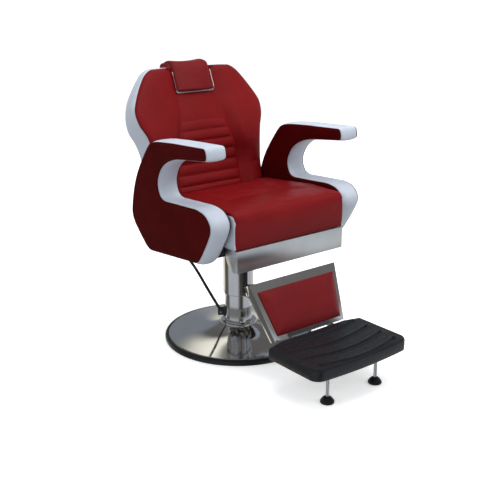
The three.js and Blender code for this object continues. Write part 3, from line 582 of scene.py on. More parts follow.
# ---- Backrest ----
def back_lines():
    """The backrest's half width, front and rear as smooth functions of height, read from the frame."""
    board, shell = cad_points("back_board"), cad_points("back_shell")
    heights, widths, fronts, rears = [], [], [], []
    for height in np.unique(board[:, 2].round(4)):
        level = board[np.abs(board[:, 2] - height) < 2e-4]
        behind = shell[np.abs(shell[:, 2] - height) < 2e-4]
        heights.append(height)
        widths.append(np.abs(level[:, 0]).max() + BACK_BOARD_MARGIN)
        fronts.append(level[:, 1].min() - BACK_CUSHION_DEPTH)
        rears.append(behind[:, 1].max() - SHELL_CROWN)
    return [smooth_line(heights, values) for values in (widths, fronts, rears)]


BACK_HALF_WIDTH, BACK_FRONT, BACK_REAR = back_lines()
BACK_LOW, BACK_HIGH = [corner.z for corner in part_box("back_board")]


def back_outline_width(z):
    """The backrest's half width at a height, with its top corners rounded."""
    return BACK_HALF_WIDTH(z) - quarter_round(BACK_HIGH - z, BACK_CORNER)


def back_relief(x, z, crease):
    """How far the red front stands forward of its base plane."""
    across = np.abs(x)
    bolster = smooth_step((across - crease + 0.004) / 0.055)
    centre = smooth_step((crease - across) / 0.022)
    ribbed = smooth_step((BACK_RIBS[-1] + 0.004 - z) / 0.012)
    ribs = centre * ribbed * (0.0085 * pillow(z, BACK_RIBS, 0.45) - 0.002)
    fold = ridge(across - crease, 0.006) * (0.0004 + 0.0026 * ribbed)
    return -0.011 + 0.021 * bolster + ribs - fold


def back_columns():
    """Places across the back: 0 in its middle, 1 and -1 on the bolsters' seams, 2 and -2 on its edges."""
    centre = [*(0.08 * np.arange(11)), 0.87, 0.93, 0.97, 0.99]
    bolster = [1.0, 1.02, 1.05, *np.linspace(1.1, 1.85, 15), 1.89, 1.93, 1.96, 1.98, 1.993, 2.0]
    half = np.array(centre + bolster)
    return np.concatenate([-half[:0:-1], half])


def add_back_cushion():
    """The red front: sewn ribs in its centre, bolsters beside them, and a notch for the headrest."""
    heights = np.unique(np.concatenate([
        np.arange(BACK_LOW + 0.002, BACK_HIGH, 0.0046),
        NOTCH_BOTTOM + np.array([-0.002, 0.0, 0.002]),
        BACK_HIGH - np.array([0.0, 0.0006, 0.0015, 0.003]),
    ]))
    heights = heights[np.concatenate([[True], np.diff(heights) > 0.0005])]
    crease_line = smooth_line(list(BACK_CREASE), list(BACK_CREASE.values()))
    spread = back_columns()
    place = np.abs(spread)
    grid, held = [], []
    for z in heights:
        crease, width = float(crease_line(z)), float(back_outline_width(z))
        board = BACK_FRONT(z) + BACK_CUSHION_DEPTH
        x = np.where(place <= 1, place * crease, crease + (place - 1) * (width - crease)) * np.sign(spread)
        side_fall = quarter_round(width - np.abs(x), BACK_ROLL) / BACK_ROLL
        end_fall = quarter_round(min(BACK_HIGH - z, z - BACK_LOW), BACK_END_ROLL) / BACK_END_ROLL
        near_edge = smooth_step(np.maximum(side_fall, end_fall))
        y = BACK_FRONT(z) - back_relief(x, z, crease) * (1 - near_edge) + near_edge * BACK_SEAM_DEPTH
        in_notch = (place < 0.995) & (z > NOTCH_BOTTOM - 0.0005)
        y = np.where(in_notch, board - 0.006, y)
        row = np.stack([x, y, np.full_like(x, z)], axis=1)
        tuck = np.array([x[-1] - 0.004, board - 0.002, z])
        grid.append(np.vstack([tuck * [-1, 1, 1], row, tuck]))
        on_rib = np.abs(z - np.array(BACK_RIBS[:-1])).min() < 0.0035
        stuck = (place > 1.97) | in_notch | (np.abs(place - 1) < 0.03) | (on_rib & (place < 1.0))
        stuck = stuck | (z < BACK_LOW + 0.006) | (z > BACK_HIGH - 0.004)
        held.append(np.concatenate([[True], stuck, [True]]))
    piece = skin_mesh("back_cushion_cover", grid)
    inflate(piece, held, pressure=3.0, most=0.006)
    subdivide(piece)
    finish_piece(piece, RED, "backrest", "red_leather", "back_cushion")


def back_edge_path(inset, depth, low, high):
    """A path round the backrest's outline, up one side, over the top and down the other."""
    heights = high - (high - low) * (1 - np.sin(np.linspace(0, math.pi / 2, 90)))
    width = back_outline_width(heights) - inset
    y = BACK_FRONT(heights) + depth
    side = np.stack([width, y, heights], axis=1)
    across = np.linspace(width[-1], -width[-1], 40)[1:-1]
    top = np.stack([across, np.full_like(across, y[-1]), np.full_like(across, heights[-1])], axis=1)
    return np.concatenate([side, top, side[::-1] * [-1, 1, 1]])


def shell_half_row(z):
    """Half of the casing's outline at a height, as (x, y) points from the middle in front to that behind."""
    shrink = float(quarter_round(BACK_HIGH - z, 0.028)) + float(quarter_round(z - BACK_LOW, 0.008))
    width = float(back_outline_width(z))
    fallen = SHELL_DROP - (SHELL_DROP - SHELL_TOP_DROP) * float(smooth_step((z - 0.86) / 0.12))
    behind = float(BACK_HALF_WIDTH(z + fallen)) - shrink
    front = float(BACK_FRONT(z)) + BACK_SEAM_DEPTH + 0.0005
    rear = float(BACK_REAR(z)) - shrink * 0.8
    corner = min(SHELL_CORNER, (rear - front) * 0.55)
    rim = smooth_step(float(quarter_round(BACK_HIGH - z, BACK_END_ROLL)) / BACK_END_ROLL)
    hidden = front + 0.013 * (1 - rim)
    middle = front + BACK_CUSHION_DEPTH - 0.007 if z > NOTCH_BOTTOM - 0.004 else hidden
    slot = NOTCH_HALF_WIDTH + 0.0012
    half = [(0.0, middle), (slot * 0.5, middle), (slot, middle), (slot + 0.0006, hidden)]
    half += [(slot + (width - 0.012 - slot) * t, hidden) for t in (0.33, 0.66, 1.0)]
    half += [(width - 0.004, front + 0.0015)]
    for share in np.linspace(0.0, 1.0, 9)[:-1]:
        puffed = 0.005 * math.sin(math.pi * min(1.0, share * 1.1)) - 0.0012
        x = width + (behind - width) * smooth_step(share * 0.9) + puffed
        half.append((float(x), front + (rear - corner - front) * share + 0.001))
    inner = behind - corner
    half += [(inner + corner * math.cos(a), rear - corner + corner * math.sin(a))
             for a in np.linspace(0, math.pi / 2, 12)]
    for share in np.linspace(0.0, 1.0, 14)[1:]:
        x = inner * (1 - share)
        crown = SHELL_CROWN * (1 - (1 - share) ** 2)
        half.append((x, rear + crown - 0.003 * ridge(x - (inner - 0.010), 0.004)))
    return np.array(half)


def add_back_shell():
    """The white casing behind the red front, over the plywood board."""
    heights = np.concatenate([
        BACK_LOW + 0.010 * (1 - np.cos(np.linspace(0, math.pi / 2, 6)))[:-1],
        np.linspace(BACK_LOW + 0.010, BACK_HIGH - 0.030, 46),
        (BACK_HIGH - 0.030) + 0.0295 * np.sin(np.linspace(0, math.pi / 2, 12))[1:],
    ])
    grid = []
    for z in heights:
        right = shell_half_row(z)
        path = np.concatenate([right, right[-2:0:-1] * [-1, 1]])
        grid.append(np.stack([path[:, 0], path[:, 1], np.full(len(path), z)], axis=1))
    piece = skin_mesh("back_casing", grid)
    subdivide(piece)
    finish_piece(piece, WHITE, "backrest", "white_leather", "back_shell", "back_board")


def add_back_trim():
    """Dark piping and white stitches along the seam, and pale piping round the headrest's notch."""
    edge = back_edge_path(0.0012, BACK_SEAM_DEPTH - 0.0005, BACK_LOW + 0.01, BACK_HIGH - 0.0015)
    for side, hand in HANDS:
        half = edge[edge[:, 0] * hand > NOTCH_HALF_WIDTH]
        seam = tube_mesh(f"back_edge_piping_{side}", half, 0.0018)
        finish_piece(seam, PIPING_RED, "backrest", "dark_red_leather")
    bottom = NOTCH_BOTTOM + 0.0005
    front = float(BACK_FRONT(bottom))
    x = NOTCH_HALF_WIDTH - 0.001
    turn = 0.010
    path = [(x, float(BACK_FRONT(z)) + 0.002, z) for z in np.linspace(BACK_HIGH - 0.014, bottom + turn, 24)]
    path += [(x - turn * (1 - math.cos(a)), front + 0.009, bottom + turn * (1 - math.sin(a)))
             for a in np.linspace(0.2, math.pi / 2, 6)]
    path += [(k, front + 0.010, bottom) for k in np.linspace(x - 0.018, 0, 12)]
    right = np.array(path)
    path = np.concatenate([right, right[-2::-1] * [-1, 1, 1]])
    finish_piece(tube_mesh("headrest_notch_piping", path, 0.0024), PIPING_WHITE, "backrest", "white_leather")
    stitches = back_edge_path(0.0035, BACK_SEAM_DEPTH + 0.0075, BACK_LOW + 0.03, BACK_HIGH - 0.004)
    finish_piece(stitch_mesh("back_edge_stitches", stitches), THREAD_WHITE, "backrest", "white_leather")


# ---- Headrest ----
def headrest_ring(loop, x, half):
    """The pad's outline at one x: full in front, saddled on top, drawn in at its ends."""
    normal = outward_normals(loop)
    high = smooth_step((loop[:, 1] - (loop[:, 1].max() - 0.060)) / 0.060)
    facing = np.clip(-normal[:, 0], 0, 1)
    dome = 1 - (x / half) ** 2
    inward = float(quarter_round(half - abs(x), HEADREST_END_ROLL)) * (0.45 + 0.50 * high)
    puff = 0.002 + facing * (1 - 0.35 * high) * (0.002 + 0.009 * dome)
    ring = loop + normal * (puff - inward)[:, None]
    ring[:, 1] -= HEADREST_SADDLE * dome * high
    wide = x * (1 + 0.025 * facing) - HEADREST_OFFSET * facing
    return np.stack([wide, ring[:, 0], ring[:, 1]], axis=1)


def add_headrest():
    loop = resample(side_outline("headrest_pad"), 96, 3)
    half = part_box("headrest_pad")[1].x
    rings, held = [], []
    for x in half * np.sin(np.linspace(-math.pi / 2, math.pi / 2, 41)):
        rings.append(headrest_ring(loop, x, half))
        held.append(np.full(len(loop), abs(x) > half * 0.94))
    piece = skin_mesh("headrest_cushion", rings)
    inflate(piece, held, pressure=3.0, most=0.004)
    subdivide(piece)
    finish_piece(piece, GLOSSY_RED, "headrest", "red_leather", "headrest_pad")
    for side, hand in HANDS:
        path = headrest_ring(loop, hand * (half - 0.0045), half)
        seam = tube_mesh(f"headrest_seam_{side}", path, 0.0013, closed=True)
        finish_piece(seam, PIPING_RED, "headrest", "red_leather")


# ---- Seat ----
def seat_top_height(y):
    """The height of the seat's top: it falls a little at its front edge and more towards the back."""
    points = cad_points("seat_cushion")
    front, back = points[:, 1].min(), points[:, 1].max()
    top = points[:, 2].max()
    return np.interp(y, [front + 0.02, -0.15, back], [top - 0.001, top, top - 0.026])


def seat_relief(x, y):
    """How far the seat's top stands above its base plane."""
    across = np.abs(x)
    bolster = smooth_step((across - SEAT_PANEL_HALF_WIDTH) / 0.05)
    front = smooth_step((-0.14 - y) / 0.07)
    bent = y + SEAT_RIB_BOW * x * x
    inside = (bent > SEAT_RIBS[0]) & (bent < SEAT_RIBS[-1])
    centre = smooth_step((SEAT_PANEL_HALF_WIDTH - across) / 0.02) * inside
    ribs = centre * (0.006 * pillow(bent, SEAT_RIBS, 0.5) - 0.003)
    fold = ridge(across - SEAT_PANEL_HALF_WIDTH, 0.005) * smooth_step((y + 0.19) / 0.05)
    return -0.006 + 0.009 * np.maximum(bolster, front) + ribs - 0.003 * fold


def front_roll(front, top, radius, count):
    """A quarter circle from a front face up onto a top, as (y, z) points."""
    return [(front + radius - radius * math.cos(a), top - radius + radius * math.sin(a))
            for a in np.linspace(0, math.pi / 2, count)]


def add_seat_cushion():
    """The red cover over the seat's top and front, open behind and below, and its hem's stitches."""
    low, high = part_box("seat_cushion")
    half, front, back = high.x, low.y, high.y
    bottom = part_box("seat_board")[0].z + 0.0008
    top = float(seat_top_height(front + 0.02))
    last = float(seat_top_height(back))
    hem = bottom + 0.002
    edge = 0.010  # the rounding of the cover's rear and side edges
    tuck = [(front + 0.006, bottom), (front + 0.001, bottom)]
    skirt = [(front - 0.003 * math.sin(math.pi * t), hem + (top - SEAT_ROLL - hem) * t)
             for t in np.linspace(0, 1, 18)]
    roll = front_roll(front, top, SEAT_ROLL, 10)[1:]
    over = [(y, float(seat_top_height(y)))
            for y in np.arange(front + SEAT_ROLL + 0.005, back - 0.014, 0.0048)]
    rear = [(back - edge + edge * math.sin(a), last - edge + edge * math.cos(a)) for a in (0, 0.5, 1.0, 1.5)]
    path = np.array(tuck + skirt + roll + over + rear + [(back, last - 0.020)])
    on_top = np.zeros(len(path))
    on_top[len(tuck) + len(skirt) + 4: -3] = 1.0
    ease = np.convolve(np.pad(on_top, 3, mode="edge"), np.ones(7) / 7, mode="valid")
    near_sides = np.array([0.98, 0.99, 0.997, 1.0])
    columns = half * np.unique(np.concatenate([np.linspace(-0.96, 0.96, 81), -near_sides, near_sides]))
    grid, held = [], []
    for x in columns:
        inside = half - abs(x)
        drop = float(quarter_round(inside, edge))
        relief = seat_relief(np.full(len(path), x), path[:, 0]) * (1 - drop / edge)
        y = path[:, 0] + drop * 0.6 * (path[:, 1] < top - 0.004) * (path[:, 0] < front + 0.06)
        z = path[:, 1] + ease * relief - drop * ease
        grid.append(np.stack([np.full(len(path), x), y, z], axis=1))
        bent = path[:, 0] + SEAT_RIB_BOW * x * x
        on_rib = np.abs(bent[:, None] - np.array(SEAT_RIBS)).min(axis=1) < 0.0026
        stuck = (path[:, 1] < bottom + 0.012) | (path[:, 0] > back - 0.006) | (inside < 0.004)
        held.append(stuck | (on_rib & (abs(x) < SEAT_PANEL_HALF_WIDTH) & (on_top > 0)))
    piece = skin_mesh("seat_cover", grid, closed=False)
    inflate(piece, held, pressure=0.35, most=0.005)
    add_modifier(piece, "SOLIDIFY", thickness=0.0035, offset=-1.0)
    subdivide(piece)
    finish_piece(piece, RED, "seat", "red_leather", "seat_cushion")
    row = columns[np.abs(columns) < half - 0.008]
    stitches = np.stack([row, np.full(len(row), front - 0.0016), np.full(len(row), bottom + 0.011)], axis=1)
    finish_piece(stitch_mesh("seat_hem_stitches", stitches), THREAD_RED, "seat", "red_leather")


def side_profile(front, back, bottom, radius):
    """The seat's side outline, as (y, z) points: square below, rounded at the top in front."""
    top = float(seat_top_height(front + 0.02)) - SEAT_BODY_DROP
    lower = [(back, bottom), (front, bottom)]
    over = [(y, float(seat_top_height(y)) - SEAT_BODY_DROP)
            for y in np.linspace(front + radius + 0.01, back - 0.004, 40)]
    return np.array(lower + front_roll(front, top, radius, 18) + over)


def add_seat_sides():
    """The filling under the red cover, and the white gussets with their piping on both of its sides."""
    low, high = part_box("seat_cushion")
    side_low, side_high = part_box("seat_side_left")
    board_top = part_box("seat_board")[1].z
    loop = resample(side_profile(low.y + 0.004, high.y - 0.001, board_top + 0.0006, 0.022), 160, 1)
    places = np.linspace(-side_low.x + 0.0003, side_low.x - 0.0003, 5)
    body = skin_mesh("seat_body", [upright(x, loop) for x in places])
    finish_piece(body, RED, "seat", "red_leather")
    profile = side_profile(low.y + 0.0012, side_high.y, side_low.z, 0.024)
    loop = resample(profile, 200, 1)
    normal = outward_normals(loop)
    inner, outer = side_low.x + 0.0002, side_high.x + 0.0006
    steps = [(0.001, inner), (0.0, inner + 0.002), (0.0, outer - 0.003), (0.0010, outer - 0.001),
             (0.0030, outer), (0.0080, outer + 0.0006)]
    for side, hand in HANDS:
        rings = [upright(hand * x, loop - normal * inward) for inward, x in steps]
        piece = skin_mesh(f"seat_gusset_{side}", rings)
        finish_piece(piece, WHITE, "seat", "white_leather", f"seat_side_{side}")
        x = hand * (side_low.x + 0.0008)
        heights = np.linspace(profile[0, 1] + 0.002, profile[2, 1] + 0.012, 30)
        path = [(x, profile[1, 0] - 0.0004, z) for z in heights]
        seam = tube_mesh(f"seat_gusset_piping_{side}", path, 0.0010)
        finish_piece(seam, PIPING_RED, "seat", "dark_red_leather")


# ---- Arms ----
def arm_crown(y, z):
    """How far the white band bulges past its panels: most round the lobe in front."""
    lobe = smooth_step((-0.150 - y) / 0.10) * smooth_step((0.665 - z) / 0.05)
    return 0.0030 + 0.0100 * lobe


def add_arm(side, hand):
    """The white band round an arm, bulging between two dark panels."""
    outer_low, outer_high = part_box(f"arm_panel_outer_{side}")
    inner_low, inner_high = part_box(f"arm_panel_inner_{side}")
    x_outer = hand * max(abs(outer_low.x), abs(outer_high.x))
    x_inner = hand * min(abs(inner_low.x), abs(inner_high.x))
    span = x_outer - x_inner
    loop = resample(side_outline(f"arm_band_{side}"), 340, 2)
    normal = outward_normals(loop)
    crown = arm_crown(loop[:, 0], loop[:, 1])
    rings = []
    for v in (0.0, 0.012, 0.035, *np.linspace(0.08, 0.92, 13), 0.965, 0.988, 1.0):
        rounded = (1 - abs(2 * v - 1) ** 7) ** 0.5
        bulge = 1 - abs(2 * v - 1) ** 2.2
        offset = -ARM_ROLL * (1 - rounded) + crown * bulge
        rings.append(upright(x_inner + span * (0.018 + 0.964 * v), loop + normal * offset[:, None]))
    for v in (1.0, 0.0):
        rings.append(upright(x_inner + span * (0.05 + 0.90 * v), loop - normal * 0.0150))
    band = skin_mesh(f"arm_cover_{side}", rings, around=True)
    subdivide(band)
    finish_piece(band, WHITE, "seat", "white_leather", f"arm_band_{side}")
    add_arm_panel(f"arm_side_outer_{side}", f"arm_panel_outer_{side}", x_outer, hand)
    add_arm_panel(f"arm_side_inner_{side}", f"arm_panel_inner_{side}", x_inner, -hand)


def add_arm_panel(name, node, x, facing):
    """A dark panel on the arm's side: a flat padded face with a rolled edge, piping and a row of stitches."""
    loop = resample(side_outline(node), 300, 1)
    normal = outward_normals(loop)
    steps = [(-0.002, -0.0050), (0.0, 0.0), (-0.0006, 0.0018), (-0.0025, 0.0030), (-0.0060, 0.0036),
             (-0.0110, 0.0040)]
    rings = [
        upright(x + facing * (out - 0.0012), loop + normal * (inward + 0.0012))
        for inward, out in steps
    ]
    piece = skin_mesh(name, rings)
    finish_piece(piece, DARK_RED, "seat", "dark_red_leather", node)
    path = upright(x - facing * 0.0002, loop + normal * 0.0018)
    seam = tube_mesh(name + "_piping", path, 0.0011, sides=6, closed=True)
    finish_piece(seam, PIPING_RED, "seat", "dark_red_leather")
    path = upright(x + facing * 0.0030, loop - normal * 0.0055)
    stitches = stitch_mesh(name + "_stitches", path, closed=True)
    finish_piece(stitches, THREAD_RED, "seat", "dark_red_leather")


# ---- Leg rest ----
def add_leg_pad():
    """The leg rest's pad: a flat middle with a wide soft bevel towards its edge."""
    points = cad_points("leg_pad")
    normal = np.array([0, -math.cos(LEG_LEAN), math.sin(LEG_LEAN)])
    down = np.array([0, -math.sin(LEG_LEAN), -math.cos(LEG_LEAN)])
    centre = points.mean(axis=0)
    along = (points - centre) @ down
    out = (points - centre) @ normal
    top, bottom = along.min(), along.max()
    half_top = np.abs(points[along < top + 0.01][:, 0]).max()
    half_bottom = np.abs(points[along > bottom - 0.01][:, 0]).max()
    rise = out.max() - out.min()
    down_it = np.array([0, 0.004, 0.012, 0.03, *np.linspace(0.06, 0.94, 26), 0.97, 0.988, 0.996, 1])
    across = np.array([0, 0.002, 0.006, 0.014, *np.linspace(0.03, 0.97, 50), 0.986, 0.994, 0.998, 1])
    grid, held = [], []
    for v in down_it:
        half = half_top + (half_bottom - half_top) * v
        x = (2 * across - 1) * half
        inside = np.minimum(half - np.abs(x), min(v, 1 - v) * (bottom - top))
        bevel = (rise - LEG_PAD_EDGE) * smooth_step(np.clip(inside / LEG_PAD_BEVEL, 0, 1) ** 0.8)
        edge = LEG_PAD_EDGE * np.sqrt(1 - np.clip(1 - inside / 0.004, 0, 1) ** 2)
        line = centre + (top + (bottom - top) * v) * down + np.outer(out.min() + edge + bevel, normal)
        line[:, 0] = x
        grid.append(line)
        held.append(inside < 0.004)
    piece = skin_mesh("leg_cushion", grid)
    inflate(piece, held, pressure=3.0, most=0.004)
    subdivide(piece)
    finish_piece(piece, GLOSSY_RED, "leg_rest", "red_leather", "leg_pad")


# ---- Footplate ----
def foot_row(forward, inset, length):
    """Where a row across the tread lies, for an outline drawn in by an inset: (forward, half width)."""
    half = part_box("footplate_tread")[1].x
    straight = length - FOOT_CORNER
    if forward > straight:
        turn = math.asin(min(1.0, (forward - straight) / FOOT_CORNER))
        radius = FOOT_CORNER - inset
        return straight + radius * math.sin(turn), half - FOOT_CORNER + radius * math.cos(turn)
    along = inset + forward * (straight - inset) / straight
    shoulder = min(1.0, forward / FOOT_SHOULDER)
    return along, FOOT_REAR_HALF_WIDTH + (half - FOOT_REAR_HALF_WIDTH) * shoulder - inset


def foot_grooves(x, forward):
    """Depth of the tread's long bowed grooves at a place, with the low lips beside them."""
    bowed = forward - GROOVE_BOW * (1 - (x / GROOVE_BOW_REACH) ** 2)
    past_end = np.maximum(np.abs(x) - GROOVE_HALF_LENGTH, 0)
    lines = [GROOVE_START + GROOVE_PITCH * k for k in range(GROOVE_COUNT)]
    away = np.minimum(1.0, np.min([np.sqrt((bowed - line) ** 2 + past_end**2) for line in lines], axis=0))
    groove = GROOVE_DEPTH * (1 - smooth_step((away - 0.0032) / 0.0030))
    return groove - GROOVE_LIP * ridge(away - 0.0095, 0.0030)


def add_footplate():
    """The tread: a moulded rubber skin with bowed grooves over the board."""
    low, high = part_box("footplate_tread")
    rear, top, half = high.y, high.z, high.x
    thick = top - low.z
    length = rear - low.y - FOOT_BOW
    corner = length - FOOT_CORNER
    turns = np.sin(np.linspace(0, math.pi / 2, 16))[1:]
    rows = [0, 0.010, *np.arange(FOOT_SHOULDER, corner, 0.0022), *(corner + FOOT_CORNER * turns)]
    spread = np.unique([*np.linspace(-1, 1, 141), -0.995, 0.995])
    columns = len(spread)

    def place(x, forward, z):
        bow = FOOT_BOW * (forward / length) * (1 - (x / half) ** 2)
        return np.stack([x, rear - forward - bow, np.full_like(x, 1.0) * z], axis=1)

    # Insets and drops below the top, from the top's edge down the side wall.
    wall = [(0.0070, 0.0), (0.0040, 0.0010), (0.0015, 0.0035), (0.0, 0.0080), (0.0, thick * 0.5),
            (0.0, thick - 0.002), (0.002, thick)]
    points, faces = [], []
    for row in rows:
        forward, width = foot_row(row, wall[0][0], length)
        x = spread * width
        shelter = smooth_step((width - np.abs(x)) / 0.006) * smooth_step(min(row, length - row) / 0.012)
        points.append(place(x, forward, top - foot_grooves(x, forward) * shelter))
    for r in range(len(rows) - 1):
        faces += strip_faces(r * columns, (r + 1) * columns, columns, closed=False)
    for inset, drop in wall:
        ends = [foot_row(row, inset, length) for row in rows]
        level = top - drop
        loop = [place(spread * ends[0][1], ends[0][0], level)]
        loop += [place(np.array([width]), forward, level) for forward, width in ends[1:]]
        loop.append(place(spread[-2::-1] * ends[-1][1], ends[-1][0], level))
        loop += [place(np.array([-width]), forward, level) for forward, width in ends[-2:0:-1]]
        points.append(np.concatenate(loop))
    count = len(points[-1])
    for k in range(len(wall) - 1):
        below = len(rows) * columns + k * count
        faces += strip_faces(below, below + count, count)
    piece = make_mesh("footplate_rubber", np.concatenate(points), faces)
    add_modifier(piece, "SOLIDIFY", thickness=FOOT_SKIN, offset=-1.0)
    finish_piece(piece, RUBBER, "footplate", "black_rubber", "footplate_tread")


# ---- Turned pieces ----
def rounded_profile(points, radius):
    """A profile whose inner corners are replaced by short arcs."""
    made = []
    count = len(points)
    for i, corner in enumerate(points):
        before, after = np.array(points[i - 1]), np.array(points[(i + 1) % count])
        corner = np.array(corner)
        to_before, to_after = before - corner, after - corner
        a, b = np.linalg.norm(to_before), np.linalg.norm(to_after)
        size = min(radius, a * 0.45, b * 0.45)
        start, end = corner + to_before / a * size, corner + to_after / b * size
        for t in (0.0, 0.33, 0.67, 1.0):
            made.append(tuple((1 - t) ** 2 * start + 2 * t * (1 - t) * corner + t * t * end))
    return made


def add_turned(name, profile, radius, material, body, slot, *replaced, centre=(0.0, 0.0)):
    piece = turned_mesh(name, rounded_profile(profile, radius), centre)
    return finish_piece(piece, material, body, slot, *replaced)


def add_base():
    """The base's rubber ring, its domed chrome cover and the pump's collar."""
    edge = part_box("base_rubber_ring")[1].x
    tyre = [(edge - 0.028, 0.0005), (edge - 0.002, 0.0), (edge, 0.004), (edge, 0.015), (edge - 0.005, 0.0212),
            (edge - 0.0145, 0.0222), (edge - 0.028, 0.012)]
    add_turned("base_tyre", tyre, 0.003, RUBBER, "base", "black_rubber", "base_rubber_ring")
    rim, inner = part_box("base_cover")[1].x, 0.0775
    share = np.concatenate([np.linspace(0, 0.02, 6)[:-1], np.linspace(0.02, 1, 50)])
    radius = rim - (rim - inner) * share
    rise = 0.0225 + 0.0275 * share + 0.018 * share**5 - quarter_round(rim - radius, 0.0035)
    top = list(zip(radius, rise))
    under = [(r - 0.0006, z - 0.0034) for r, z in top[::-1]]
    finish_piece(turned_mesh("base_dome", top + under), CHROME, "base", "chrome", "base_cover")
    low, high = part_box("pump_socket")
    bore, neck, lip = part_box("pump_cylinder")[1].x + 0.0003, 0.070, 0.0765
    collar = [(bore, low.z), (high.x, low.z), (high.x, 0.024), (neck, 0.024), (neck, 0.060), (lip, 0.064),
              (lip, 0.072), (lip - 0.0035, high.z), (bore, high.z)]
    add_turned("pump_collar", collar, 0.0016, CHROME, "base", "chrome", "pump_socket")


def add_column():
    """The pump's lower tube, and the sleeve that rises with the seat."""
    low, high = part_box("pump_cylinder")
    tube = [(0.045, low.z), (high.x, low.z), (high.x, high.z), (0.051, high.z), (0.0505, 0.05), (0.045, 0.05)]
    add_turned("pump_tube", tube, 0.001, CHROME, "pump", "chrome", "pump_cylinder")
    low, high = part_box("outer_sleeve")
    inside = high.x - 0.003
    sleeve = [(inside, low.z), (high.x - 0.0012, low.z - 0.0002), (high.x, low.z + 0.0015), (high.x, high.z),
              (inside, high.z)]
    add_turned("column_sleeve", sleeve, 0.0008, CHROME, "seat", "chrome", "outer_sleeve")


def add_levelling_foot(side):
    """A rubber cup and its threaded screw."""
    low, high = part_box(f"foot_pad_{side}")
    centre = ((low.x + high.x) / 2, (low.y + high.y) / 2)
    edge, axis, bore = (high.x - low.x) / 2, 0.0005, 0.0074
    cup = [(axis, 0.0), (edge - 0.0025, 0.0), (edge, 0.003), (edge - 0.0005, 0.009), (edge * 0.70, 0.019),
           (edge * 0.39, high.z), (bore + 0.0001, high.z), (bore, 0.022), (axis, 0.022)]
    add_turned(f"foot_cup_{side}", cup, 0.002, RUBBER, f"foot_{side}", "black_rubber", f"foot_pad_{side}",
               centre=centre)
    low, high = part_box(f"foot_screw_{side}")
    radius, axis, pitch, root = (high.x - low.x) / 2, 0.0008, 0.0022, 0.0009
    profile = [(axis, low.z), (radius - 0.001, low.z)]
    for k in range(int((high.z - low.z - 0.004) / pitch)):
        z = low.z + 0.002 + k * pitch
        profile += [(radius - root, z), (radius, z + pitch * 0.45), (radius - root, z + pitch * 0.9)]
    profile += [(radius - 0.001, high.z), (axis, high.z)]
    piece = turned_mesh(f"foot_thread_{side}", profile, centre, steps=32)
    finish_piece(piece, CHROME, f"foot_{side}", "chrome", f"foot_screw_{side}")


def soften_metal():
    """Small bevels on the flat metal parts, so that their edges catch the light."""
    for node in ("front_apron", "leg_frame", "seat_frame", "leg_hanger", "drive_link"):
        CAD[node].data.shade_smooth()
        add_modifier(CAD[node], "WELD", merge_threshold=0.00005)
        add_modifier(CAD[node], "BEVEL", width=0.0009, segments=2, limit_method="ANGLE",
                     angle_limit=math.radians(35), harden_normals=True)


# ---- Studio ----
def add_area_light(name, place, target, size, power):
    data = bpy.data.lights.new(name, "AREA")
    data.shape = "RECTANGLE"
    data.size, data.size_y = size
    data.energy = power
    light = bpy.data.objects.new(name, data)
    light.location = place
    light.visible_glossy = False
    light.rotation_euler = (Vector(target) - Vector(place)).to_track_quat("-Z", "Y").to_euler()
    SCENE.collection.objects.link(light)


def add_ramp(nodes, factor, stops):
    """A colour ramp over the compass angle in degrees, from -180 to 180; its first two stops are the ends."""
    ramp = nodes.node("ShaderNodeValToRGB", Fac=factor)
    elements = ramp.color_ramp.elements
    for i, (angle, color) in enumerate(stops):
        place = (angle + 180) / 360
        element = elements[i] if i < 2 else elements.new(place)
        element.position = place
        element.color = (*color, 1)
    return ramp.outputs["Color"]


def reflected_room(nodes, height, compass):
    """What metal reflects: pale walls low down, darker ones above, a bright window and a grey ceiling."""
    cream, pale, wall, grey = (0.80, 0.77, 0.66), (0.45, 0.47, 0.50), (0.20, 0.22, 0.245), (0.22, 0.21, 0.20)
    dark, night, window = (0.11, 0.105, 0.10), (0.025, 0.03, 0.04), (1.0, 0.97, 0.84)
    low = add_ramp(nodes, compass, [
        (-180, pale), (180, pale), (-135, pale), (-118, dark), (-98, night), (-90, grey), (-80, pale),
        (-30, pale), (-5, (0.6, 0.6, 0.6)), (30, cream), (58, (0.5, 0.5, 0.46)), (70, cream), (108, cream),
        (116, dark), (146, dark), (156, pale),
    ])
    high = add_ramp(nodes, compass, [
        (-180, grey), (180, grey), (-52.5, grey), (-50.5, night), (-43, dark), (-20, grey), (20, pale),
        (32, dark), (46, wall), (72, wall), (84, dark), (100, dark), (118, pale), (135, grey),
    ])
    streak = add_ramp(nodes, compass, [
        (-180, grey), (180, grey), (56.0, dark), (57.4, window), (61.2, window), (63.8, dark),
    ])
    walls = nodes.mixed(nodes.ranged(height, 0.0, 1.0, 0.02, 0.20), low, high)
    walls = nodes.mixed(nodes.ranged(height, 0.0, 1.0, 0.45, 0.53), walls, streak)
    room = nodes.mixed(nodes.ranged(height, 0.0, 1.0, 0.72, 0.86), walls, (0.17, 0.17, 0.165))
    return nodes.node("ShaderNodeBackground", Color=room)


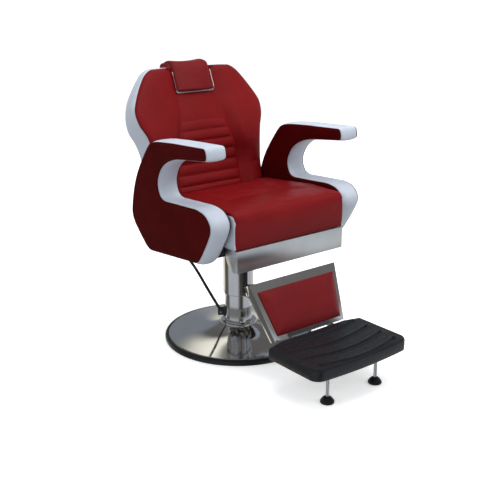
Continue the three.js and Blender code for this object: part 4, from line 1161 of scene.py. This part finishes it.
def add_world():
    """An even white room for light and for the camera, with another room in what metal reflects."""
    world = bpy.data.worlds.new("studio")
    SCENE.world = world
    world.use_nodes = True
    nodes = Nodes(world.node_tree)
    nodes.tree.nodes.clear()
    split = nodes.node("ShaderNodeSeparateXYZ", Vector=nodes.node("ShaderNodeTexCoord").outputs["Generated"])
    height = split.outputs["Z"]
    angle = nodes.math("ARCTAN2", split.outputs["Y"], split.outputs["X"])
    reflected = reflected_room(nodes, height, nodes.ranged(angle, 0.0, 1.0, -math.pi, math.pi))
    even = nodes.node("ShaderNodeBackground", Color=(0.95, 0.97, 1.0, 1),
                      Strength=nodes.ranged(height, 0.38, 0.85, 0.0, 1.0))
    seen = nodes.node("ShaderNodeBackground", Color=(1.0, 1.0, 1.0, 1))
    ray = nodes.node("ShaderNodeLightPath").outputs
    unseen = nodes.mixed_shader(ray["Is Glossy Ray"], even, reflected)
    chosen = nodes.mixed_shader(ray["Is Camera Ray"], unseen, seen)
    nodes.node("ShaderNodeOutputWorld", Surface=chosen.outputs[0])


def add_floor():
    """A wide white floor, brighter for the camera, so that only a faint shadow shows."""
    reach = 150
    corners = [(-reach, -reach, 0), (reach, -reach, 0), (reach, reach, 0), (-reach, reach, 0)]
    floor = make_mesh("floor", corners, [(0, 1, 2, 3)])
    floor.location.z = -0.0008
    floor.visible_glossy = False
    s = Shader("floor")
    seen = s.node("ShaderNodeLightPath").outputs["Is Camera Ray"]
    s.set(Base_Color=s.mixed(seen, (0.60, 0.60, 0.60), (0.95, 0.95, 0.95)), Roughness=0.9)
    s.set(Emission_Color=(1.0, 1.0, 1.0, 1), Emission_Strength=s.ranged(seen, 0.0, 0.45, 0.0, 1.0))
    s.set(Specular_IOR_Level=0.1)
    floor.data.materials.append(s.material)


def add_studio():
    add_floor()
    add_world()
    add_area_light("top_light", (0.3, -0.6, 3.4), (0, -0.1, 0.5), (2.2, 2.2), 64)
    add_area_light("front_light", (1.6, -3.4, 2.6), (0, -0.2, 0.6), (2.0, 1.6), 30)
    add_area_light("left_light", (-3.2, -0.4, 2.4), (0, 0, 0.7), (1.4, 1.8), 24)
    add_area_light("back_light", (1.8, 3.0, 2.8), (0, 0.2, 0.8), (2.4, 1.6), 40)
    SCENE.view_settings.view_transform = "Standard"


def add_camera():
    data = bpy.data.cameras.new("camera")
    data.lens = 60.33
    data.sensor_width = 36
    camera = bpy.data.objects.new("camera", data)
    camera.location = (-2.0034, -2.5832, 1.4333)
    toward = Vector((0.5941, 0.7432, -0.3077))
    camera.rotation_euler = toward.to_track_quat("-Z", "Y").to_euler()
    SCENE.collection.objects.link(camera)
    SCENE.camera = camera


add_camera()
add_studio()
dress_cad_nodes()
soften_metal()
add_base()
add_column()
add_levelling_foot("left")
add_levelling_foot("right")
add_seat_cushion()
add_seat_sides()
add_arm("left", 1)
add_arm("right", -1)
add_back_cushion()
add_back_shell()
add_back_trim()
add_headrest()
add_leg_pad()
add_footplate()
